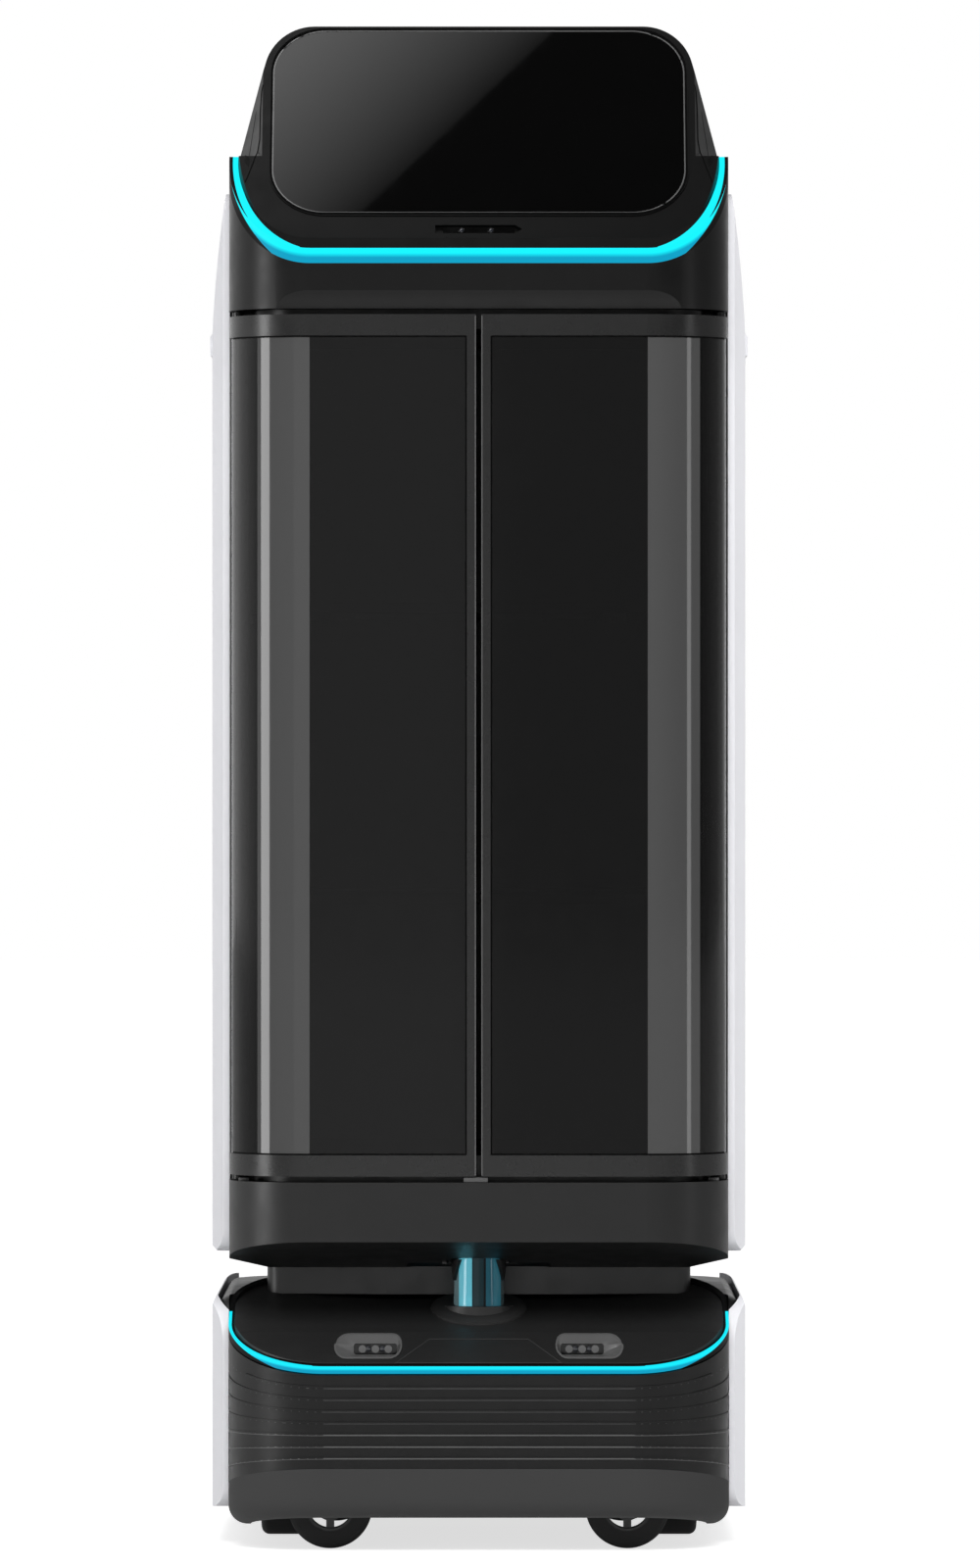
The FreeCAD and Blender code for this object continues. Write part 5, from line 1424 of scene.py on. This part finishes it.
@dataclass
class RearTrim(SubAssembly):
    """Vents and screws of the rear panel, collar of the stop button, rocker and contact frame."""

    back: float = 0.242
    vent_x: float = 0.0
    vent_z: tuple[float, float] = (0.430, 0.520)
    vent_size: Point = (0.120, 0.0010, 0.0030)
    vent_count: int = 10
    screw_x: float = 0.150
    screw_z: tuple[float, ...] = (0.392, 0.720, 1.048)
    stop_place: Point = (0.130, 0.240, 1.180)
    switch_place: Point = (-0.130, 0.2430, 1.180)
    contact_z: float = 0.110

    def build(self) -> None:
        """Makes the rear's trim."""
        self.cut_vents()
        self.fit_screws()
        self.collar_stop()
        self.fit_rocker()
        self.frame_contacts()

    def cut_vents(self) -> None:
        """Level air slots low on the rear panel."""
        pattern = ease_edges(block("vent_pattern", self.vent_size, (0.0, 0.0, 0.0)), 0.0004, 1)
        low, high = self.vent_z
        for number in range(self.vent_count):
            height = low + (high - low) * number / (self.vent_count - 1)
            move = Matrix.Translation(Vector((self.vent_x, self.back - 0.0002, height)))
            self.keep(copy_of(pattern, f"rear_vent_{number + 1:02d}", move), PALETTE.gap_black, "black_plastic")
        self.drop(pattern)

    def fit_screws(self) -> None:
        """Socket screws along both sides of the rear panel."""
        pattern = socket_screw("panel_screw_pattern", 0.0034, 0.0018)
        for hand, side in (("left", 1), ("right", -1)):
            for number, height in enumerate(self.screw_z, 1):
                move = onto(Vector((side * self.screw_x, self.back, height)), Vector((0.0, 1.0, 0.0)),
                            Vector((0.0, 0.0, 1.0)))
                self.keep(copy_of(pattern, f"panel_screw_{hand}_{number}", move), PALETTE.screw, "steel_plate")
        self.drop(pattern)

    def collar_stop(self) -> None:
        """The yellow collar under the stop button."""
        collar = disc("stop_collar", 0.0235, 0.0030, self.stop_place, (90.0, 0.0, 0.0), 48)
        with editing(collar):
            pick_faces(collar, lambda face: face.normal.y > 0.9)
            bpy.ops.mesh.inset(thickness=0.0015)
            bpy.ops.mesh.extrude_region_move(TRANSFORM_OT_translate={"value": (0.0, 0.0008, 0.0)})
        self.keep(ease_edges(collar, 0.0004, 2), PALETTE.collar_yellow, "stop_red")

    def fit_rocker(self) -> None:
        """The rocker of the power switch, pressed at one end."""
        rocker = block("switch_rocker", (0.0080, 0.0026, 0.0130), self.switch_place)
        with editing(rocker, "EDGE"):
            pick_edges(rocker, lambda edge: all(vertex.co.y > self.switch_place[1] and
                                                vertex.co.z > self.switch_place[2] for vertex in edge.verts))
            bpy.ops.transform.translate(value=(0.0, -0.0012, 0.0))
        self.keep(ease_edges(rocker, 0.0004, 2), PALETTE.funnel, "gloss_black")

    def frame_contacts(self) -> None:
        """A frame round the charging contacts."""
        frame_piece = block("contact_frame", (0.124, 0.0016, 0.026), (0.0, 0.2486, self.contact_z))
        with editing(frame_piece):
            pick_faces(frame_piece, lambda face: face.normal.y > 0.9)
            bpy.ops.mesh.inset(thickness=0.0040)
            bpy.ops.mesh.extrude_region_move(TRANSFORM_OT_translate={"value": (0.0, -0.0009, 0.0)})
        self.keep(ease_edges(frame_piece, 0.0003, 1), PALETTE.gap_black, "black_plastic")


@dataclass
class Studio:
    """Pale floor, white surroundings, softboxes and the camera."""

    floor_size: float = 60.0
    front_fill: float = 0.5
    rear_fill: float = 0.32
    ceiling_level: float = 0.02
    front_shine: float = 0.35
    right_shade: float = 0.25
    ceiling_ramp: tuple[float, float] = (0.0, 0.3)
    floor_lift: float = 0.7
    floor_shine: float = 0.15
    card_level: float = 0.25

    def build(self) -> None:
        """Makes the whole studio."""
        self.make_world()
        self.make_floor()
        self.add_softbox("key_shine", -66.0, 4.0, 2.6, (0.62, 2.4), 34.0, Lit.SHINE)
        self.add_softbox("side_shine", 61.0, 0.6, 2.8, (0.3, 1.1), 3.2, Lit.SHINE)
        self.add_softbox("front_softbox", 3.0, 30.0, 5.0, (3.0, 1.6), 240.0, Lit.COLOUR)
        self.add_card()
        self.add_ceiling_softbox()
        self.place_camera()

    def lit_rays(self, tree: bpy.types.NodeTree) -> bpy.types.NodeSocket:
        """One for a camera, glossy or transmitted ray, otherwise nought.

        Args:
            tree: the node tree that needs it.

        Returns:
            The value socket.
        """
        rays = tree.nodes.new("ShaderNodeLightPath")
        first = tree.nodes.new("ShaderNodeMath")
        first.operation = "MAXIMUM"
        tree.links.new(rays.outputs["Is Camera Ray"], first.inputs[0])
        tree.links.new(rays.outputs["Is Glossy Ray"], first.inputs[1])
        second = tree.nodes.new("ShaderNodeMath")
        second.operation = "MAXIMUM"
        tree.links.new(first.outputs["Value"], second.inputs[0])
        tree.links.new(rays.outputs["Is Transmission Ray"], second.inputs[1])
        return second.outputs["Value"]

    def remap(self, tree: bpy.types.NodeTree, value: bpy.types.NodeSocket, source: tuple[float, float],
              target: tuple[float, float]) -> bpy.types.NodeSocket:
        """Maps a value from one range to another, held at its ends.

        Args:
            tree: the node tree.
            value: the value's socket.
            source: the range it has.
            target: the range it gets.

        Returns:
            The mapped value's socket.
        """
        node = tree.nodes.new("ShaderNodeMapRange")
        tree.links.new(value, node.inputs["Value"])
        node.inputs["From Min"].default_value, node.inputs["From Max"].default_value = source
        node.inputs["To Min"].default_value, node.inputs["To Max"].default_value = target
        return node.outputs["Result"]

    def make_world(self) -> None:
        """White surroundings with a dark ceiling, and a fill that comes mostly from the front."""
        world = bpy.data.worlds.new("studio_world")
        bpy.context.scene.world = world
        world.use_nodes = True
        tree = world.node_tree
        background = tree.nodes["Background"]
        background.inputs["Color"].default_value = (1.0, 1.0, 1.0, 1.0)
        axes = tree.nodes.new("ShaderNodeSeparateXYZ")
        tree.links.new(tree.nodes.new("ShaderNodeTexCoord").outputs["Generated"], axes.inputs["Vector"])
        fill = self.remap(tree, axes.outputs["Y"], (-1.0, 1.0), (self.front_fill, self.rear_fill))
        dimmed = self.remap(tree, axes.outputs["Z"], (0.35, 0.75), (1.0, self.ceiling_level))
        front = self.remap(tree, axes.outputs["Y"], (-0.6, 0.3), (self.front_shine, 1.0))
        aside = self.remap(tree, axes.outputs["X"], (0.15, 0.7), (1.0, self.right_shade))
        seen = dimmed
        for share in (front, aside):
            product = tree.nodes.new("ShaderNodeMath")
            product.operation = "MULTIPLY"
            tree.links.new(seen, product.inputs[0])
            tree.links.new(share, product.inputs[1])
            seen = product.outputs["Value"]
        camera = tree.nodes.new("ShaderNodeLightPath").outputs["Is Camera Ray"]
        shown = self.choose(tree, camera, seen, 1.0)
        level = tree.nodes.new("ShaderNodeMix")
        tree.links.new(self.lit_rays(tree), level.inputs["Factor"])
        tree.links.new(fill, level.inputs["A"])
        tree.links.new(shown, level.inputs["B"])
        tree.links.new(level.outputs["Result"], background.inputs["Strength"])

    def choose(self, tree: bpy.types.NodeTree, factor: bpy.types.NodeSocket, value: bpy.types.NodeSocket,
               other: float) -> bpy.types.NodeSocket:
        """The value where the factor is nought, and the other where it is one."""
        node = tree.nodes.new("ShaderNodeMix")
        tree.links.new(factor, node.inputs["Factor"])
        tree.links.new(value, node.inputs["A"])
        node.inputs["B"].default_value = other
        return node.outputs["Result"]

    def make_floor(self) -> None:
        """Plain pale floor that keeps the robot's shadow."""
        bpy.ops.object.select_all(action="DESELECT")
        bpy.ops.mesh.primitive_plane_add(size=self.floor_size, location=(0.0, 0.0, 0.0))
        floor = bpy.context.active_object
        floor.name = "studio_floor"
        material = bpy.data.materials.new("floor_pale")
        material.use_nodes = True
        tree = material.node_tree
        shader = tree.nodes["Principled BSDF"]
        shader.inputs["Base Color"].default_value = (0.82, 0.82, 0.82, 1.0)
        shader.inputs["Roughness"].default_value = 0.9
        shader.inputs["Specular IOR Level"].default_value = 0.0
        shader.inputs["Emission Color"].default_value = (1.0, 1.0, 1.0, 1.0)
        rays = tree.nodes.new("ShaderNodeLightPath")
        shown = self.remap(tree, rays.outputs["Is Camera Ray"], (0.0, 1.0), (self.floor_shine, self.floor_lift))
        lift = tree.nodes.new("ShaderNodeMath")
        lift.operation = "MULTIPLY"
        tree.links.new(self.lit_rays(tree), lift.inputs[0])
        tree.links.new(shown, lift.inputs[1])
        tree.links.new(lift.outputs["Value"], shader.inputs["Emission Strength"])
        floor.data.materials.append(material)

    def add_card(self) -> None:
        """Stands a dim reflection card left of the camera, which the left half of the front mirrors."""
        edge, width, height, away = 0.0, 1.4, 3.0, 3.0
        holder = self.hang("left_card", Vector((edge - width / 2, -away, 0.9)), Vector((edge - width / 2, 0.0, 0.9)),
                           (width, height), self.card_level * math.pi * width * height)
        holder.visible_diffuse = False

    def add_softbox(self, name: str, turn: float, rise: float, distance: float, size: tuple[float, float],
                    power: float, lit: Lit) -> None:
        """Hangs an upright softbox that faces the robot.

        Args:
            name: its name.
            turn: degrees from straight in front, to the right.
            rise: degrees above the robot's middle.
            distance: metres from the robot's middle.
            size: width and height in metres.
            power: watts.
            lit: whether it lights colours or makes reflections.
        """
        angle, lift = math.radians(turn), math.radians(rise)
        middle = Vector((0.0, 0.0, 0.75))
        spot = middle + distance * Vector((math.sin(angle) * math.cos(lift), -math.cos(angle) * math.cos(lift),
                                           math.sin(lift)))
        holder = self.hang(name, spot, middle, size, power)
        holder.visible_diffuse = lit is not Lit.SHINE
        holder.visible_glossy = lit is not Lit.COLOUR

    def hang(self, name: str, spot: Vector, target: Vector, size: tuple[float, float],
             power: float) -> bpy.types.Object:
        """Places one rectangular lamp that faces a target.

        Args:
            name: its name.
            spot: its place.
            target: the place that it faces.
            size: width and height in metres.
            power: watts.

        Returns:
            The lamp's object.
        """
        lamp = bpy.data.lights.new(name, "AREA")
        lamp.shape = "RECTANGLE"
        lamp.size, lamp.size_y = size
        lamp.energy = power
        holder = bpy.data.objects.new(name, lamp)
        bpy.context.scene.collection.objects.link(holder)
        holder.location = spot
        holder.rotation_euler = (target - spot).to_track_quat("-Z", "Y").to_euler()
        holder.visible_camera = False
        return holder

    def add_ceiling_softbox(self) -> None:
        """Hangs the softbox over the robot: its slanting edge crosses the screen and it brightens away from it."""
        lamp = bpy.data.lights.new("ceiling_softbox", "AREA")
        lamp.shape = "RECTANGLE"
        lamp.size, lamp.size_y = 0.6, 1.3
        lamp.energy = 1.0
        lamp.use_nodes = True
        tree = lamp.node_tree
        across = tree.nodes.new("ShaderNodeSeparateXYZ")
        tree.links.new(tree.nodes.new("ShaderNodeNewGeometry").outputs["Parametric"], across.inputs["Vector"])
        ramp = self.remap(tree, across.outputs["X"], self.ceiling_ramp, (0.4, 6.0))
        tree.links.new(ramp, tree.nodes["Emission"].inputs["Strength"])
        holder = bpy.data.objects.new("ceiling_softbox", lamp)
        bpy.context.scene.collection.objects.link(holder)
        edge_middle, outwards = Vector((-0.026, -0.768, 2.9)), Vector((-0.69, 0.72, 0.0))
        holder.location = edge_middle + outwards * (lamp.size / 2)
        holder.rotation_euler = (0.0, 0.0, math.radians(135.0))
        holder.visible_camera = False

    def place_camera(self) -> None:
        """Puts the camera at the photograph's viewpoint."""
        data = bpy.data.cameras.new("photo_camera")
        data.sensor_width = 36.0
        data.lens = 233.8
        data.clip_end = 200.0
        camera = bpy.data.objects.new("photo_camera", data)
        bpy.context.scene.collection.objects.link(camera)
        camera.location = (0.010, -9.25, 0.681)
        camera.rotation_euler = (math.radians(90.0), 0.0, 0.0)
        bpy.context.scene.camera = camera
        bpy.context.scene.view_settings.view_transform = "Standard"


def main() -> None:
    """Builds everything in order."""
    Studio().build()
    dress_nodes()
    for assembly in (HeadTrim(), SensorTrim(), RibTrim(), DoorTrim(), CabinTrim(), WheelTrim(),
                     RearTrim()):
        assembly.build()
        log.info("%s made %d pieces", type(assembly).__name__, assembly.made)


if __name__ == "__main__":
    main()
